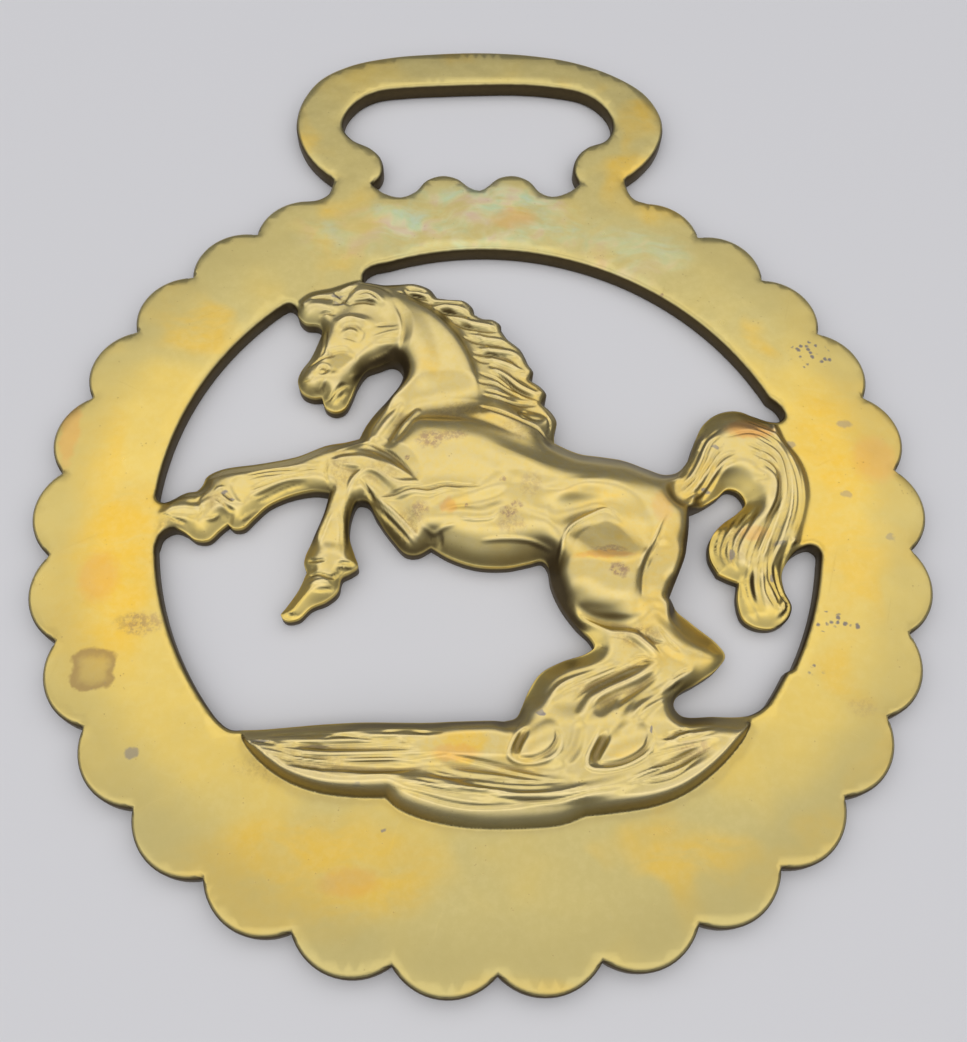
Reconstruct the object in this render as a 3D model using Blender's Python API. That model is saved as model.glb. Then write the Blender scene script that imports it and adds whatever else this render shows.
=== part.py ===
"""Horse brass: a flat openwork harness ornament, cast in one piece.

A scalloped rim carries a strap hanger at the top. In the rim's round opening a horse rears over a mound of
earth, and is joined to the rim at its forelock, its raised hoof, its tail and the mound. The back is flat and
lies in the plane z = 0. The relief looks up. The origin is the centre of the rim, and +Y points to the hanger.

The outlines are smooth runs between corners. The relief is one height over the plan: a level that follows
the masses and limbs, bodies that swell over it, and a round that cuts both off at every outline.
Lengths in the tables are in millimetres. A body's row is x, y, half-width and height above the back.
"""

import bpy
import numpy as np
from mathutils import Vector
from mathutils.geometry import delaunay_2d_cdt

MM = 0.001

# Driving sizes
PLATE_TOP = 1.7
PLATE_ROUND = 0.35
HORSE_EDGE = 1.2
SCALLOPS = 30
CUSP_RADIUS = 36.0
TIP_RADIUS = 37.75
SCALLOP_TURN = 89.5
OPENING = (0.2, 27.85, 27.4)
GROUND_Y = -17.0
MOUND_RISE = 1.35
MOUND_BANK = 1.9

# Mesh sizes
CURVE_STEP = 1.0
RIM_STEP = 2.2
RELIEF_STEP = 0.68
PLATE_STEP = 4.6
EDGE_RING = 0.42

BRASS = (0.56, 0.40, 0.13, 1.0)


# Curves


def at(angle, radius):
    """The point at an angle in degrees and a radius from the centre of the rim."""
    return radius * np.cos(np.radians(angle)), radius * np.sin(np.radians(angle))


def spline(points, step):
    """A centripetal Catmull-Rom curve through the points. Columns after x and y go along with them."""
    p = np.asarray(points, float)
    p = np.vstack([2 * p[0] - p[1], p, 2 * p[-1] - p[-2]])
    out = []
    for a, b, c, d in zip(p[:-3], p[1:-2], p[2:-1], p[3:]):
        count = max(int(np.ceil(np.hypot(*(c - b)[:2]) / step)), 1)
        t1 = np.linalg.norm(b - a) ** 0.5
        t2 = t1 + np.linalg.norm(c - b) ** 0.5
        t3 = t2 + np.linalg.norm(d - c) ** 0.5
        t = np.linspace(t1, t2, count + 1)[:-1, None]
        ab = (t1 - t) / t1 * a + t / t1 * b
        bc = (t2 - t) / (t2 - t1) * b + (t - t1) / (t2 - t1) * c
        cd = (t3 - t) / (t3 - t2) * c + (t - t2) / (t3 - t2) * d
        first = (t2 - t) / t2 * ab + t / t2 * bc
        second = (t3 - t) / (t3 - t1) * bc + (t - t1) / (t3 - t1) * cd
        out.append((t2 - t) / (t2 - t1) * first + (t - t1) / (t2 - t1) * second)
    out.append(p[-2:-1])
    return np.vstack(out)


def rim_arc(start, end, radius, end_radius, step):
    """Part of the round opening's edge, with a radius that changes evenly from start to end."""
    count = max(int(abs(np.radians(end - start)) * radius / step), 1)
    x, y = at(np.linspace(start, end, count + 1), np.linspace(radius, end_radius, count + 1))
    return np.column_stack([x, y])


def scallop(index, step):
    """One lobe of the rim: the circular arc through two cusps and the tip between them."""
    half = np.pi / SCALLOPS
    middle = np.radians(SCALLOP_TURN) + 2 * half * (index + 0.5)
    chord = CUSP_RADIUS * np.sin(half)
    sag = TIP_RADIUS - CUSP_RADIUS * np.cos(half)
    radius = (chord * chord + sag * sag) / (2 * sag)
    centre = TIP_RADIUS - radius
    swing = np.arctan2(chord, CUSP_RADIUS * np.cos(half) - centre)
    count = max(int(2 * swing * radius / step), 4)
    turn = middle + np.linspace(-swing, swing, count + 1)
    return np.column_stack(
        [
            centre * np.cos(middle) + radius * np.cos(turn),
            centre * np.sin(middle) + radius * np.sin(turn),
        ]
    )


def closed(runs, step):
    """One closed outline from runs that meet at corners. A run is a table of points or a sampled arc."""
    out = []
    for run in runs:
        curve = run if isinstance(run, np.ndarray) else spline(run, step)
        if out and np.hypot(*(out[-1][-1] - curve[0])) < 0.02:
            curve = curve[1:]
        out.append(curve)
    loop = np.vstack(out)
    if np.hypot(*(loop[0] - loop[-1])) < 0.02:
        loop = loop[:-1]
    return loop


# Outlines

HANGER = [
    (14.9, 36.0), (16.6, 37.5), (18.3, 39.7), (19.3, 42.4), (19.2, 44.8), (17.8, 47.7), (14.6, 50.3),
    (10.5, 52.1), (6.0, 53.0), (1.0, 53.3), (-4.0, 53.05), (-8.5, 52.5), (-12.6, 51.3), (-15.6, 49.3),
    (-17.2, 46.6), (-17.8, 43.8), (-17.6, 41.7), (-16.6, 39.1), (-15.2, 37.2), (-13.9, 36.0),
]
LEFT_NECK = [(-13.9, 36.0), (-14.3, 34.3), (-15.3, 33.55), (-16.9, 33.35)]
RIGHT_NECK = [(16.9, 33.1), (15.7, 33.6), (15.1, 34.6), (14.9, 36.0)]
SLOT_TOP = [
    (-10.1, 35.5), (-9.4, 36.1), (-9.0, 37.3), (-9.3, 38.9), (-10.3, 40.1), (-12.0, 41.1), (-12.95, 42.4),
    (-13.05, 43.6), (-12.5, 45.1), (-11.3, 46.6), (-9.6, 47.6), (-6.5, 48.1), (-3.0, 48.35), (1.0, 48.55),
    (5.0, 48.6), (8.8, 48.2), (11.4, 47.5), (13.2, 46.0), (14.05, 44.3), (14.1, 42.7), (13.3, 41.2),
    (11.4, 40.3), (10.3, 39.1), (9.8, 37.3), (10.2, 35.5),
]
SLOT_WAVES = [
    (10.2, 35.5), (9.2, 34.6), (7.5, 34.0), (6.4, 34.5), (5.4, 35.9), (3.9, 36.6), (2.3, 36.3), (1.1, 35.2),
    (0.4, 34.75), (-0.5, 35.1), (-1.7, 36.2), (-3.2, 36.6), (-4.8, 36.0), (-5.9, 34.6), (-7.3, 33.9),
    (-8.9, 34.4), (-10.1, 35.5),
]
MANE_EDGE = [
    [(-10.7, 23.7), (-9.0, 23.15), (-7.5, 23.15), (-6.0, 23.2), (-4.6, 22.6), (-3.9, 21.6)],
    [(-3.9, 21.6), (-2.8, 21.4), (-1.4, 21.2), (-0.65, 20.4), (-0.5, 19.7)],
    [(-0.5, 19.7), (0.2, 19.25), (1.2, 19.1), (1.85, 18.5), (1.9, 17.9)],
    [(1.9, 17.9), (2.4, 17.0), (3.5, 15.9), (3.95, 14.9), (4.15, 14.3), (4.6, 13.4), (4.3, 12.6)],
    [(4.3, 12.6), (5.2, 11.9), (5.65, 11.1), (5.2, 10.2)],
    [(5.2, 10.2), (6.0, 9.3), (6.4, 8.3), (6.1, 7.2), (6.1, 6.4)],
]
BACK_AND_TAIL = [
    (6.1, 6.4), (8.0, 5.45), (10.0, 5.1), (12.0, 4.7), (14.0, 3.85), (15.5, 3.25), (16.6, 3.4), (17.6, 4.5),
    (18.4, 6.3), (19.3, 8.0), (20.7, 9.15), (22.4, 9.5), (24.0, 9.0), (25.4, 8.5), (26.3, 8.5), (26.8, 9.1),
    (26.5, 10.0), at(23, 27.85),
]
POLL = [at(108, 27.2), (-9.8, 25.5), (-10.6, 24.8), (-10.7, 23.7)]
RAISED_LEG_TOP = [
    at(175, 27.7), (-27.6, 1.7), (-27.1, 1.25), (-26.2, 1.45), (-25.0, 2.05), (-24.3, 2.2), (-23.9, 2.7),
    (-23.6, 3.5), (-22.4, 4.2), (-19.0, 4.75), (-16.0, 5.4), (-13.6, 6.4), (-12.0, 6.7), (-10.8, 7.0),
]
THROAT_AND_JAW = [
    (-10.8, 7.0), (-10.2, 8.3), (-9.2, 9.8), (-8.1, 11.1), (-7.2, 12.5), (-7.0, 13.7), (-7.4, 14.7),
    (-8.1, 15.0), (-9.2, 14.6), (-10.3, 14.1), (-11.1, 12.8), (-11.7, 11.1), (-12.2, 10.2), (-13.0, 9.9),
    (-13.8, 10.3), (-14.2, 11.4),
]
FACE = [
    (-14.2, 11.4), (-15.0, 11.35), (-15.9, 11.8), (-16.35, 12.9), (-16.1, 14.0), (-15.3, 15.3),
    (-14.7, 16.8), (-14.35, 18.3), (-14.8, 18.9), (-15.9, 19.1), (-16.5, 19.7), (-16.9, 20.8),
    (-17.5, 21.25), at(131, 27.7),
]
RAISED_HOOF = [
    at(186, 27.4), (-26.9, -1.7), (-26.0, -1.2), (-25.1, -1.5), (-24.1, -2.2), (-23.1, -2.2), (-22.2, -1.3),
    (-21.6, -0.75),
]
RAISED_LEG_UNDER = [
    (-21.6, -0.75), (-21.1, -1.2), (-20.3, -1.15), (-19.4, -0.2), (-18.3, 0.9), (-16.5, 1.75),
    (-14.5, 2.1), (-13.15, 1.9),
]
BENT_LEG_FRONT = [
    (-13.15, 1.9), (-13.6, -0.2), (-14.4, -2.4), (-15.0, -3.8), (-15.1, -4.6), (-14.85, -5.3),
]
BENT_LEG_BACK = [
    (-14.85, -5.3), (-15.4, -6.7), (-16.4, -8.3), (-16.8, -8.9), (-16.4, -9.35), (-15.4, -9.25),
    (-14.4, -8.3), (-13.2, -7.8), (-12.3, -7.0), (-12.0, -5.8), (-11.3, -5.4), (-10.7, -4.9),
    (-10.95, -4.0), (-11.5, -2.0), (-11.3, 0.1), (-10.8, 1.1), (-10.0, 0.95), (-9.2, -0.5), (-8.0, -2.3),
    (-6.8, -3.65), (-5.8, -3.75), (-4.7, -3.15),
]
BELLY_AND_SHIN = [
    (-4.7, -3.15), (-3.2, -4.1), (-1.0, -4.9), (1.5, -5.05), (3.4, -4.7), (4.5, -4.5), (4.95, -5.1),
    (5.15, -6.6), (5.8, -8.4), (7.0, -10.3), (8.0, -11.4), (8.25, -12.1), (7.5, -12.7), (5.5, -13.3),
    (3.8, -14.2), (2.8, -15.6), (2.2, -16.9), (1.7, -17.75), (0.8, -18.0),
]
GROUND_LEFT = [
    (0.8, -18.0), (-5.0, -18.0), (-12.0, -17.85), (-18.6, -18.2), (-20.2, -18.05), (-21.1, -17.4),
    at(217.5, 27.4),
]
BUTTOCK = [(14.6, -8.2), (15.3, -6.7), (16.3, -4.4), (16.8, -2.0), (17.0, -0.3)]
TAIL_INNER = [
    (17.0, -0.3), (18.3, 0.2), (19.8, 1.1), (20.9, 1.95), (21.8, 1.65), (22.25, 0.6), (21.5, -0.3),
    (19.9, -1.5), (18.8, -2.8), (18.55, -4.4), (19.1, -5.9),
]
TAIL_KINK = [(19.1, -5.9), (19.9, -6.35), (20.7, -6.7)]
TAIL_END = [
    (20.7, -6.7), (20.4, -8.3), (20.7, -9.9), (21.7, -10.6), (23.0, -10.7), (24.2, -10.1), (24.8, -9.0),
    (24.4, -7.4), (24.4, -6.0), (25.2, -4.7), (26.3, -3.85), (27.3, -3.6), (27.85, -4.1), at(349, 28.15),
]
HOCK_AND_GROUND = [
    at(322, 27.45), (20.9, -17.45), (19.6, -17.95), (17.0, -17.95), (14.6, -17.85), (14.1, -17.0),
    (14.6, -16.1), (16.2, -15.2), (17.9, -14.1), (18.75, -12.95), (18.2, -11.9), (16.6, -10.4),
    (15.1, -9.0), (14.6, -8.2),
]
MOUND_EDGE = [
    [
        (-19.4, -18.2), (-17.6, -16.4), (-14.0, -15.0), (0.0, -14.6), (14.0, -15.0), (17.8, -16.4),
        (20.0, -17.9), (19.6, -19.2), (18.2, -20.9), (16.2, -22.6), (14.1, -23.9), (11.8, -24.7),
        (9.0, -25.1), (6.6, -25.3),
    ],
    [(6.6, -25.3), (4.8, -25.9), (1.5, -26.1), (-2.5, -25.9), (-5.6, -25.2), (-7.4, -24.4), (-8.3, -23.6)],
    [
        (-8.3, -23.6), (-10.5, -23.5), (-13.2, -23.1), (-15.6, -22.2), (-17.6, -20.8), (-19.0, -19.2),
        (-19.4, -18.2),
    ],
]


def rim_outline(step, arc_step):
    """The hanger, its two necks and the scallops, which stop where they run into the necks."""
    lobes = [scallop(index, arc_step) for index in range(2, 28)]
    lobes[0] = lobes[0][lobes[0][:, 0] < LEFT_NECK[-1][0]]
    beyond = (lobes[-1][:, 0] < RIGHT_NECK[0][0]) & (lobes[-1][:, 1] > 0)
    lobes[-1] = lobes[-1][~beyond]
    return closed([HANGER, LEFT_NECK] + lobes + [RIGHT_NECK], step)


def openings(step, arc_step):
    """The strap slot and the four spaces round the horse."""
    return {
        "slot": closed([SLOT_TOP, SLOT_WAVES], step),
        "behind_mane": closed(
            MANE_EDGE + [BACK_AND_TAIL, rim_arc(23, 108, 27.85, 27.2, arc_step), POLL], step
        ),
        "before_face": closed(
            [rim_arc(131, 175, 27.7, 27.7, arc_step), RAISED_LEG_TOP, THROAT_AND_JAW, FACE], step
        ),
        "under_belly": closed(
            [
                RAISED_HOOF, RAISED_LEG_UNDER, BENT_LEG_FRONT, BENT_LEG_BACK, BELLY_AND_SHIN,
                GROUND_LEFT, rim_arc(217.5, 186, 27.4, 27.4, arc_step),
            ],
            step,
        ),
        "under_tail": closed(
            [
                BUTTOCK, TAIL_INNER, TAIL_KINK, TAIL_END, rim_arc(349, 329.5, 28.15, 27.9, arc_step),
                [at(329.5, 27.9), at(328.3, 27.5)], rim_arc(328.3, 322, 27.5, 27.45, arc_step),
                HOCK_AND_GROUND,
            ],
            step,
        ),
    }


# Relief

# Each group of bodies is drawn on its own sheet, which lies at this offset.
SHEET = {
    "neck": (0.0, -0.9), "body": (0.05, -1.2), "head": (0.15, -1.1), "mane": (0.0, -0.75),
    "fore": (0.1, -0.6), "raised": (0.25, -0.55), "thigh": (-0.25, -1.05), "hind": (-0.25, -0.45),
    "tail": (-0.4, -0.75), "ground": (-0.1, -0.35),
}
# The general height of each mass and limb, along its middle.
LEVELS = [
    ("neck", [(-3.6, 11.4, 4.0, 3.3), (-4.5, 15.5, 3.6, 3.2), (-6.2, 19.0, 3.2, 3.15), (-8.2, 21.4, 2.4, 2.9)]),
    (
        "body",
        [
            (-4.2, 2.8, 5.0, 3.85), (0.8, 2.1, 5.5, 4.2), (5.5, 1.2, 5.0, 4.15), (9.5, 0.2, 4.5, 4.1),
            (12.3, -1.2, 4.0, 4.0),
        ],
    ),
    ("head", [(-9.6, 18.7, 3.0, 3.3), (-11.3, 16.3, 2.6, 3.2), (-13.0, 13.7, 2.2, 2.95), (-13.3, 11.4, 1.6, 2.75)]),
    ("head", [(-15.7, 20.5, 1.6, 2.6), (-13.4, 21.0, 1.6, 2.75)]),
    (
        "mane",
        [
            (-6.0, 22.9, 1.0, 2.6), (-2.0, 20.4, 1.4, 2.45), (1.3, 17.0, 1.6, 2.4), (3.0, 13.0, 1.5, 2.4),
            (4.9, 9.0, 1.4, 2.4),
        ],
    ),
    ("body", [(-8.6, 7.6, 1.8, 2.9), (-8.0, 9.4, 1.6, 2.6)]),
    (
        "raised",
        [
            (-12.8, 4.6, 2.2, 2.6), (-16.6, 3.5, 2.0, 2.4), (-20.2, 2.5, 1.8, 2.35), (-22.6, 1.5, 1.8, 2.5),
            (-25.2, 0.3, 1.5, 2.25), (-28.0, 0.5, 1.2, 2.0),
        ],
    ),
    (
        "fore",
        [
            (-11.8, 3.8, 1.6, 2.8), (-12.3, 0.8, 1.4, 2.5), (-13.0, -2.4, 1.8, 2.5), (-13.4, -5.0, 1.8, 2.5),
            (-15.8, -7.8, 1.2, 2.2),
        ],
    ),
    ("fore", [(-10.1, 3.2, 1.4, 2.9), (-8.6, 0.6, 1.6, 2.9), (-6.7, -2.2, 1.6, 2.9)]),
    ("thigh", [(9.0, -6.8, 3.4, 4.35), (10.6, -5.2, 3.6, 4.45)]),
    ("thigh", [(14.4, 0.0, 2.4, 3.9), (14.3, -4.4, 2.0, 3.7), (13.4, -7.2, 1.8, 3.2)]),
    (
        "hind",
        [
            (12.8, -9.6, 1.8, 2.8), (14.6, -10.8, 2.0, 2.8), (16.6, -12.6, 1.8, 2.75), (13.6, -15.0, 1.5, 2.6),
            (10.6, -17.6, 1.7, 2.7),
        ],
    ),
    (
        "hind",
        [
            (7.4, -9.4, 2.0, 2.35), (9.6, -11.4, 2.0, 2.5), (8.4, -13.6, 1.8, 2.5), (5.6, -15.4, 1.8, 2.5),
            (3.6, -17.2, 1.8, 2.6),
        ],
    ),
    (
        "tail",
        [
            (17.0, 1.4, 1.4, 2.4), (18.6, 3.0, 1.8, 2.6), (20.0, 5.0, 2.4, 2.8), (22.4, 6.0, 3.0, 2.9),
            (24.2, 4.6, 3.3, 2.9), (24.4, 1.6, 3.3, 2.8), (23.4, -1.2, 3.0, 2.7), (22.7, -3.8, 2.6, 2.6),
            (23.0, -6.4, 2.0, 2.5), (23.2, -8.4, 1.8, 2.4),
        ],
    ),
]
# Rounded bodies that swell over the level: group, blend, flatness, table.
BODIES = [
    ("head", 0.25, 5.0, [(-9.9, 17.7, 2.9, 3.65), (-9.8, 18.0, 2.9, 3.65)]),
    ("head", 0.4, 2.2, [(-15.6, 13.6, 1.3, 3.2), (-14.6, 12.9, 1.5, 3.2), (-13.4, 11.6, 1.3, 3.1)]),
    ("head", 0.4, 2.2, [(-16.0, 20.4, 1.4, 2.95), (-14.8, 21.0, 1.6, 3.15), (-13.0, 21.3, 1.3, 3.1)]),
    ("head", 0.2, 2.2, [(-12.2, 22.2, 0.9, 3.3), (-10.6, 22.5, 1.1, 3.5), (-9.0, 21.4, 0.7, 3.3)]),
    (
        "fore", 0.4, 2.2,
        [(-12.4, 4.5, 1.5, 3.3), (-10.6, 4.8, 1.8, 3.95), (-8.6, 3.9, 1.6, 4.35), (-6.0, 2.7, 0.9, 4.45)],
    ),
    (
        "fore", 0.3, 2.2,
        [(-12.0, 3.6, 1.3, 3.2), (-12.3, 0.8, 1.1, 2.85), (-12.9, -2.0, 1.3, 2.8), (-13.0, -4.0, 1.9, 2.9)],
    ),
    ("fore", 0.3, 2.2, [(-13.4, -5.2, 1.3, 2.75), (-14.2, -6.4, 1.3, 2.75), (-15.6, -7.8, 1.0, 2.45)]),
    ("fore", 0.3, 2.2, [(-10.3, 3.4, 1.2, 3.2), (-8.6, 0.8, 1.5, 3.2), (-6.6, -2.1, 1.6, 3.1)]),
    (
        "raised", 0.3, 2.2,
        [(-13.6, 4.6, 1.6, 2.9), (-17.0, 3.7, 1.5, 2.75), (-20.4, 2.6, 1.4, 2.65), (-22.6, 1.9, 1.5, 2.8)],
    ),
    ("raised", 0.3, 2.2, [(-23.2, 0.9, 1.3, 2.55), (-25.2, 0.2, 1.3, 2.5), (-27.6, 0.4, 0.9, 2.35)]),
    ("hind", 0.3, 2.0, [(7.8, -9.0, 1.4, 2.75), (9.8, -11.0, 1.3, 2.95), (12.4, -12.4, 1.0, 2.85)]),
    (
        "hind", 0.3, 2.0,
        [(10.8, -13.4, 1.3, 2.9), (7.6, -14.4, 1.3, 3.0), (5.0, -16.0, 1.5, 3.1), (4.0, -17.8, 1.6, 3.3)],
    ),
    ("hind", 0.25, 2.0, [(12.6, -13.8, 0.8, 2.9), (9.8, -15.3, 1.0, 2.85), (7.2, -17.2, 0.9, 3.0)]),
    (
        "hind", 0.3, 2.2,
        [
            (12.8, -9.6, 1.6, 3.3), (14.6, -11.0, 1.9, 3.4), (16.6, -12.6, 1.8, 3.3), (15.8, -14.0, 1.5, 3.2),
            (13.4, -15.4, 1.5, 3.15), (11.2, -17.2, 1.6, 3.3), (10.6, -18.6, 1.6, 3.4),
        ],
    ),
    (
        "tail", 0.4, 2.2,
        [
            (17.2, 1.6, 1.2, 2.75), (18.8, 3.2, 1.6, 3.0), (20.4, 5.2, 2.3, 3.3), (22.6, 6.0, 3.0, 3.5),
            (24.6, 4.8, 3.5, 3.55), (24.9, 1.6, 3.6, 3.45), (23.8, -1.0, 3.2, 3.3), (22.7, -3.8, 2.6, 3.15),
            (22.9, -6.2, 2.1, 3.0), (23.2, -8.2, 1.8, 2.8),
        ],
    ),
]
LOCKS = [
    [(-8.8, 23.3, 0.8, 2.8), (-7.0, 23.3, 0.85, 3.0), (-5.3, 23.2, 0.8, 2.9), (-4.3, 22.5, 0.6, 2.6)],
    [(-7.5, 22.4, 0.6, 3.05), (-5.6, 22.0, 0.6, 2.95), (-4.4, 21.6, 0.5, 2.7)],
    [(-4.6, 21.5, 0.9, 3.05), (-2.8, 21.4, 0.95, 3.0), (-1.2, 21.2, 0.8, 2.8), (-0.6, 20.6, 0.6, 2.5)],
    [(-3.1, 20.3, 0.9, 3.1), (-1.6, 19.6, 0.95, 3.05), (0.0, 19.3, 0.9, 2.9), (1.4, 19.1, 0.7, 2.6)],
    [(-2.2, 18.7, 0.8, 3.1), (-0.4, 18.2, 0.8, 3.0), (1.6, 18.1, 0.7, 2.7)],
    [(-1.8, 17.7, 0.9, 3.1), (0.6, 17.1, 0.9, 3.0), (3.0, 16.3, 0.8, 2.7), (3.9, 15.4, 0.6, 2.4)],
    [(-1.4, 16.4, 0.9, 3.1), (1.0, 15.9, 0.9, 3.0), (3.2, 15.0, 0.9, 2.8), (4.3, 13.9, 0.6, 2.5)],
    [(-0.9, 14.9, 1.0, 3.2), (1.2, 14.3, 1.2, 3.2), (2.9, 12.9, 1.2, 3.05), (5.0, 11.5, 0.8, 2.6)],
    [(-0.5, 12.9, 0.9, 3.1), (0.9, 12.1, 1.0, 3.0), (2.6, 11.4, 0.7, 2.7)],
    [(1.2, 10.4, 1.1, 3.0), (3.0, 10.2, 1.3, 3.0), (4.6, 9.8, 1.4, 2.9), (5.7, 8.7, 1.2, 2.6), (6.0, 7.6, 0.8, 2.4)],
]
# Soft ridges (height above 0) and hollows (below 0) laid over the bodies: group, table.
FOLDS = [
    ("neck", [(-7.4, 20.2, 2.2, 0.1), (-6.2, 17.0, 2.8, 0.2), (-5.0, 12.5, 2.8, 0.15), (-4.8, 10.9, 2.0, 0.05)]),
    (
        "body",
        [
            (-7.6, 7.6, 1.2, -0.1), (-6.4, 9.6, 1.8, -0.2), (-4.2, 10.8, 2.3, -0.25), (-1.4, 10.8, 2.3, -0.25),
            (1.0, 10.0, 2.0, -0.25), (2.8, 9.1, 1.5, -0.1),
        ],
    ),
    (
        "body",
        [
            (-6.6, 5.2, 1.4, 0.1), (-5.6, 6.9, 2.0, 0.25), (-3.8, 7.6, 2.4, 0.35), (-1.4, 7.5, 2.5, 0.35),
            (1.0, 6.7, 2.3, 0.25), (3.4, 5.6, 1.8, 0.1),
        ],
    ),
    ("body", [(-9.5, 7.0, 0.6, 0.15), (-8.3, 9.1, 0.6, 0.2), (-7.4, 10.4, 0.5, 0.1)]),
    ("body", [(-7.9, 6.6, 0.7, 0.15), (-7.0, 8.3, 0.7, 0.25), (-5.8, 9.5, 0.6, 0.1)]),
    (
        "body",
        [
            (-3.0, 0.2, 1.3, -0.1), (1.0, 0.2, 1.6, -0.2), (4.5, 0.2, 1.6, -0.25), (7.6, -0.2, 1.6, -0.35),
            (9.0, -0.6, 1.4, -0.2),
        ],
    ),
    ("body", [(-3.6, -2.2, 1.4, 0.1), (0.0, -2.5, 1.5, 0.2), (3.4, -2.4, 1.4, 0.2), (5.2, -2.6, 1.0, 0.1)]),
    (
        "thigh",
        [
            (6.3, -5.4, 0.9, -0.15), (6.9, -3.7, 1.3, -0.4), (8.2, -2.4, 1.7, -0.5), (10.2, -1.8, 1.8, -0.5),
            (12.2, -2.2, 1.4, -0.2),
        ],
    ),
    ("thigh", [(5.6, -8.6, 1.0, -0.2), (7.6, -10.0, 1.3, -0.5), (10.0, -10.6, 1.3, -0.5), (12.4, -10.0, 1.0, -0.2)]),
    ("thigh", [(6.0, -4.6, 0.7, 0.1), (6.4, -2.6, 0.8, 0.15), (7.8, -0.9, 0.8, 0.15), (10.0, -0.1, 0.8, 0.05)]),
    ("thigh", [(14.9, -1.4, 0.9, -0.08), (14.1, -3.2, 0.9, -0.15), (13.2, -5.2, 0.9, -0.2), (12.5, -7.6, 0.8, -0.15)]),
    ("head", [(-12.6, 17.6, 1.0, -0.1), (-12.4, 15.6, 1.2, -0.3), (-11.3, 14.4, 1.0, -0.2)]),
    ("head", [(-12.0, 18.0, 1.1, 0.2), (-11.8, 17.8, 1.1, 0.2)]),
    ("head", [(-12.0, 12.7, 0.5, -0.25), (-13.0, 12.0, 0.6, -0.4), (-13.7, 11.2, 0.6, -0.5), (-14.0, 10.4, 0.5, -0.4)]),
    ("head", [(-13.4, 22.6, 0.8, -0.25), (-12.5, 21.7, 0.8, -0.3), (-11.4, 21.1, 0.8, -0.3), (-8.6, 20.7, 0.8, -0.2)]),
    ("tail", [(21.3, 2.5, 0.9, -0.2), (22.9, 2.7, 1.2, -0.5), (23.3, 2.0, 1.1, -0.4), (22.4, 0.4, 0.9, -0.2)]),
    ("tail", [(24.2, -3.9, 0.9, -0.2), (23.4, -6.0, 0.9, -0.3), (23.5, -8.0, 0.9, -0.25), (24.0, -9.4, 0.7, -0.1)]),
    ("tail", [(20.9, -7.2, 0.8, -0.15), (21.8, -6.6, 0.9, -0.25), (23.0, -5.4, 0.8, -0.1)]),
    ("ground", [(-18.0, -19.3, 0.7, -0.1), (-13.0, -19.6, 0.9, -0.25), (-8.0, -19.6, 0.9, -0.2), (-3.0, -20.0, 0.8, -0.05)]),
    (
        "ground",
        [
            (-15.5, -20.7, 0.8, -0.05), (-9.0, -21.0, 1.0, -0.25), (-3.0, -21.3, 1.1, -0.3),
            (1.0, -21.5, 1.1, -0.3), (5.5, -22.3, 0.9, -0.15),
        ],
    ),
    (
        "ground",
        [
            (-13.0, -22.0, 0.8, 0.05), (-7.0, -22.6, 1.0, 0.2), (-1.0, -23.4, 1.1, 0.25), (4.0, -23.8, 1.0, 0.25),
            (10.0, -22.8, 0.9, 0.1),
        ],
    ),
    ("ground", [(12.4, -20.0, 0.8, 0.15), (15.0, -19.5, 0.8, 0.15), (17.6, -19.1, 0.6, 0.05)]),
    ("ground", [(12.4, -21.6, 0.9, -0.2), (16.0, -20.6, 0.7, -0.1)]),
    ("ground", [(4.6, -21.8, 0.8, -0.2), (6.0, -20.2, 0.9, -0.35), (6.4, -18.6, 0.8, -0.3)]),
]
# The two hind hooves, as outlines on the ground.
HOOVES = [
    [(8.1, -18.7), (7.4, -20.3), (6.5, -21.9), (7.3, -22.6), (9.6, -22.2), (11.6, -21.1), (12.1, -19.6), (11.8, -18.5), (10.0, -18.2)],
    [(1.6, -18.5), (1.0, -20.0), (0.7, -21.3), (2.2, -21.7), (4.2, -21.0), (5.0, -19.6), (5.0, -18.4), (3.2, -18.2)],
]
HOOF_RISE = 0.75


def placed(group, table):
    """A table moved to where its group's sheet lies."""
    return np.asarray(table, float) + np.array([*SHEET[group], 0.0, 0.0])


def distance_to(points, loops):
    """How far each point is from the nearest of the closed outlines."""
    best = np.full(len(points), np.inf)
    for loop in loops:
        for a, b in zip(loop, np.roll(loop, -1, axis=0)):
            span = b - a
            t = np.clip((points - a) @ span / (span @ span), 0, 1)
            gap = points - a - t[:, None] * span
            best = np.minimum(best, (gap * gap).sum(axis=1))
    return np.sqrt(best)


def smooth_distance(points, distance, loops):
    """The distance with its creases rounded: near an outline it is exact, further in it sums over all of it."""
    total = np.zeros(len(points))
    for loop in loops:
        span = np.roll(loop, -1, axis=0) - loop
        count = np.maximum((np.hypot(*span.T) / 0.35).astype(int), 1)
        for a, step, parts in zip(loop, span, count):
            for part in range(parts):
                middle = a + step * (part + 0.5) / parts
                gap = ((points - middle) ** 2).sum(axis=1)
                total += np.hypot(*step) / parts / np.maximum(gap, 0.04) ** 2.5
    summed = (0.75 * total) ** -0.25
    return distance + ease(distance, 0.5, 1.5) * (summed - distance)


def inside(points, loop):
    """Which points the closed outline holds, by counting the edges to the right of each."""
    x, y = points.T
    odd = np.zeros(len(points), bool)
    for (ax, ay), (bx, by) in zip(loop, np.roll(loop, -1, axis=0)):
        if ay != by:
            odd ^= ((ay > y) != (by > y)) & (x < (bx - ax) * (y - ay) / (by - ay) + ax)
    return odd


def beads(table, pitch=0.3):
    """The table's curve as beads: x, y, half-width, height, and the share of its half-width each one spans."""
    curve = spline(table, pitch * np.min(np.asarray(table)[:, 2]))
    span = np.hypot(*np.gradient(curve[:, :2], axis=0).T)
    return np.column_stack([curve, span / curve[:, 2]])


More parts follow.
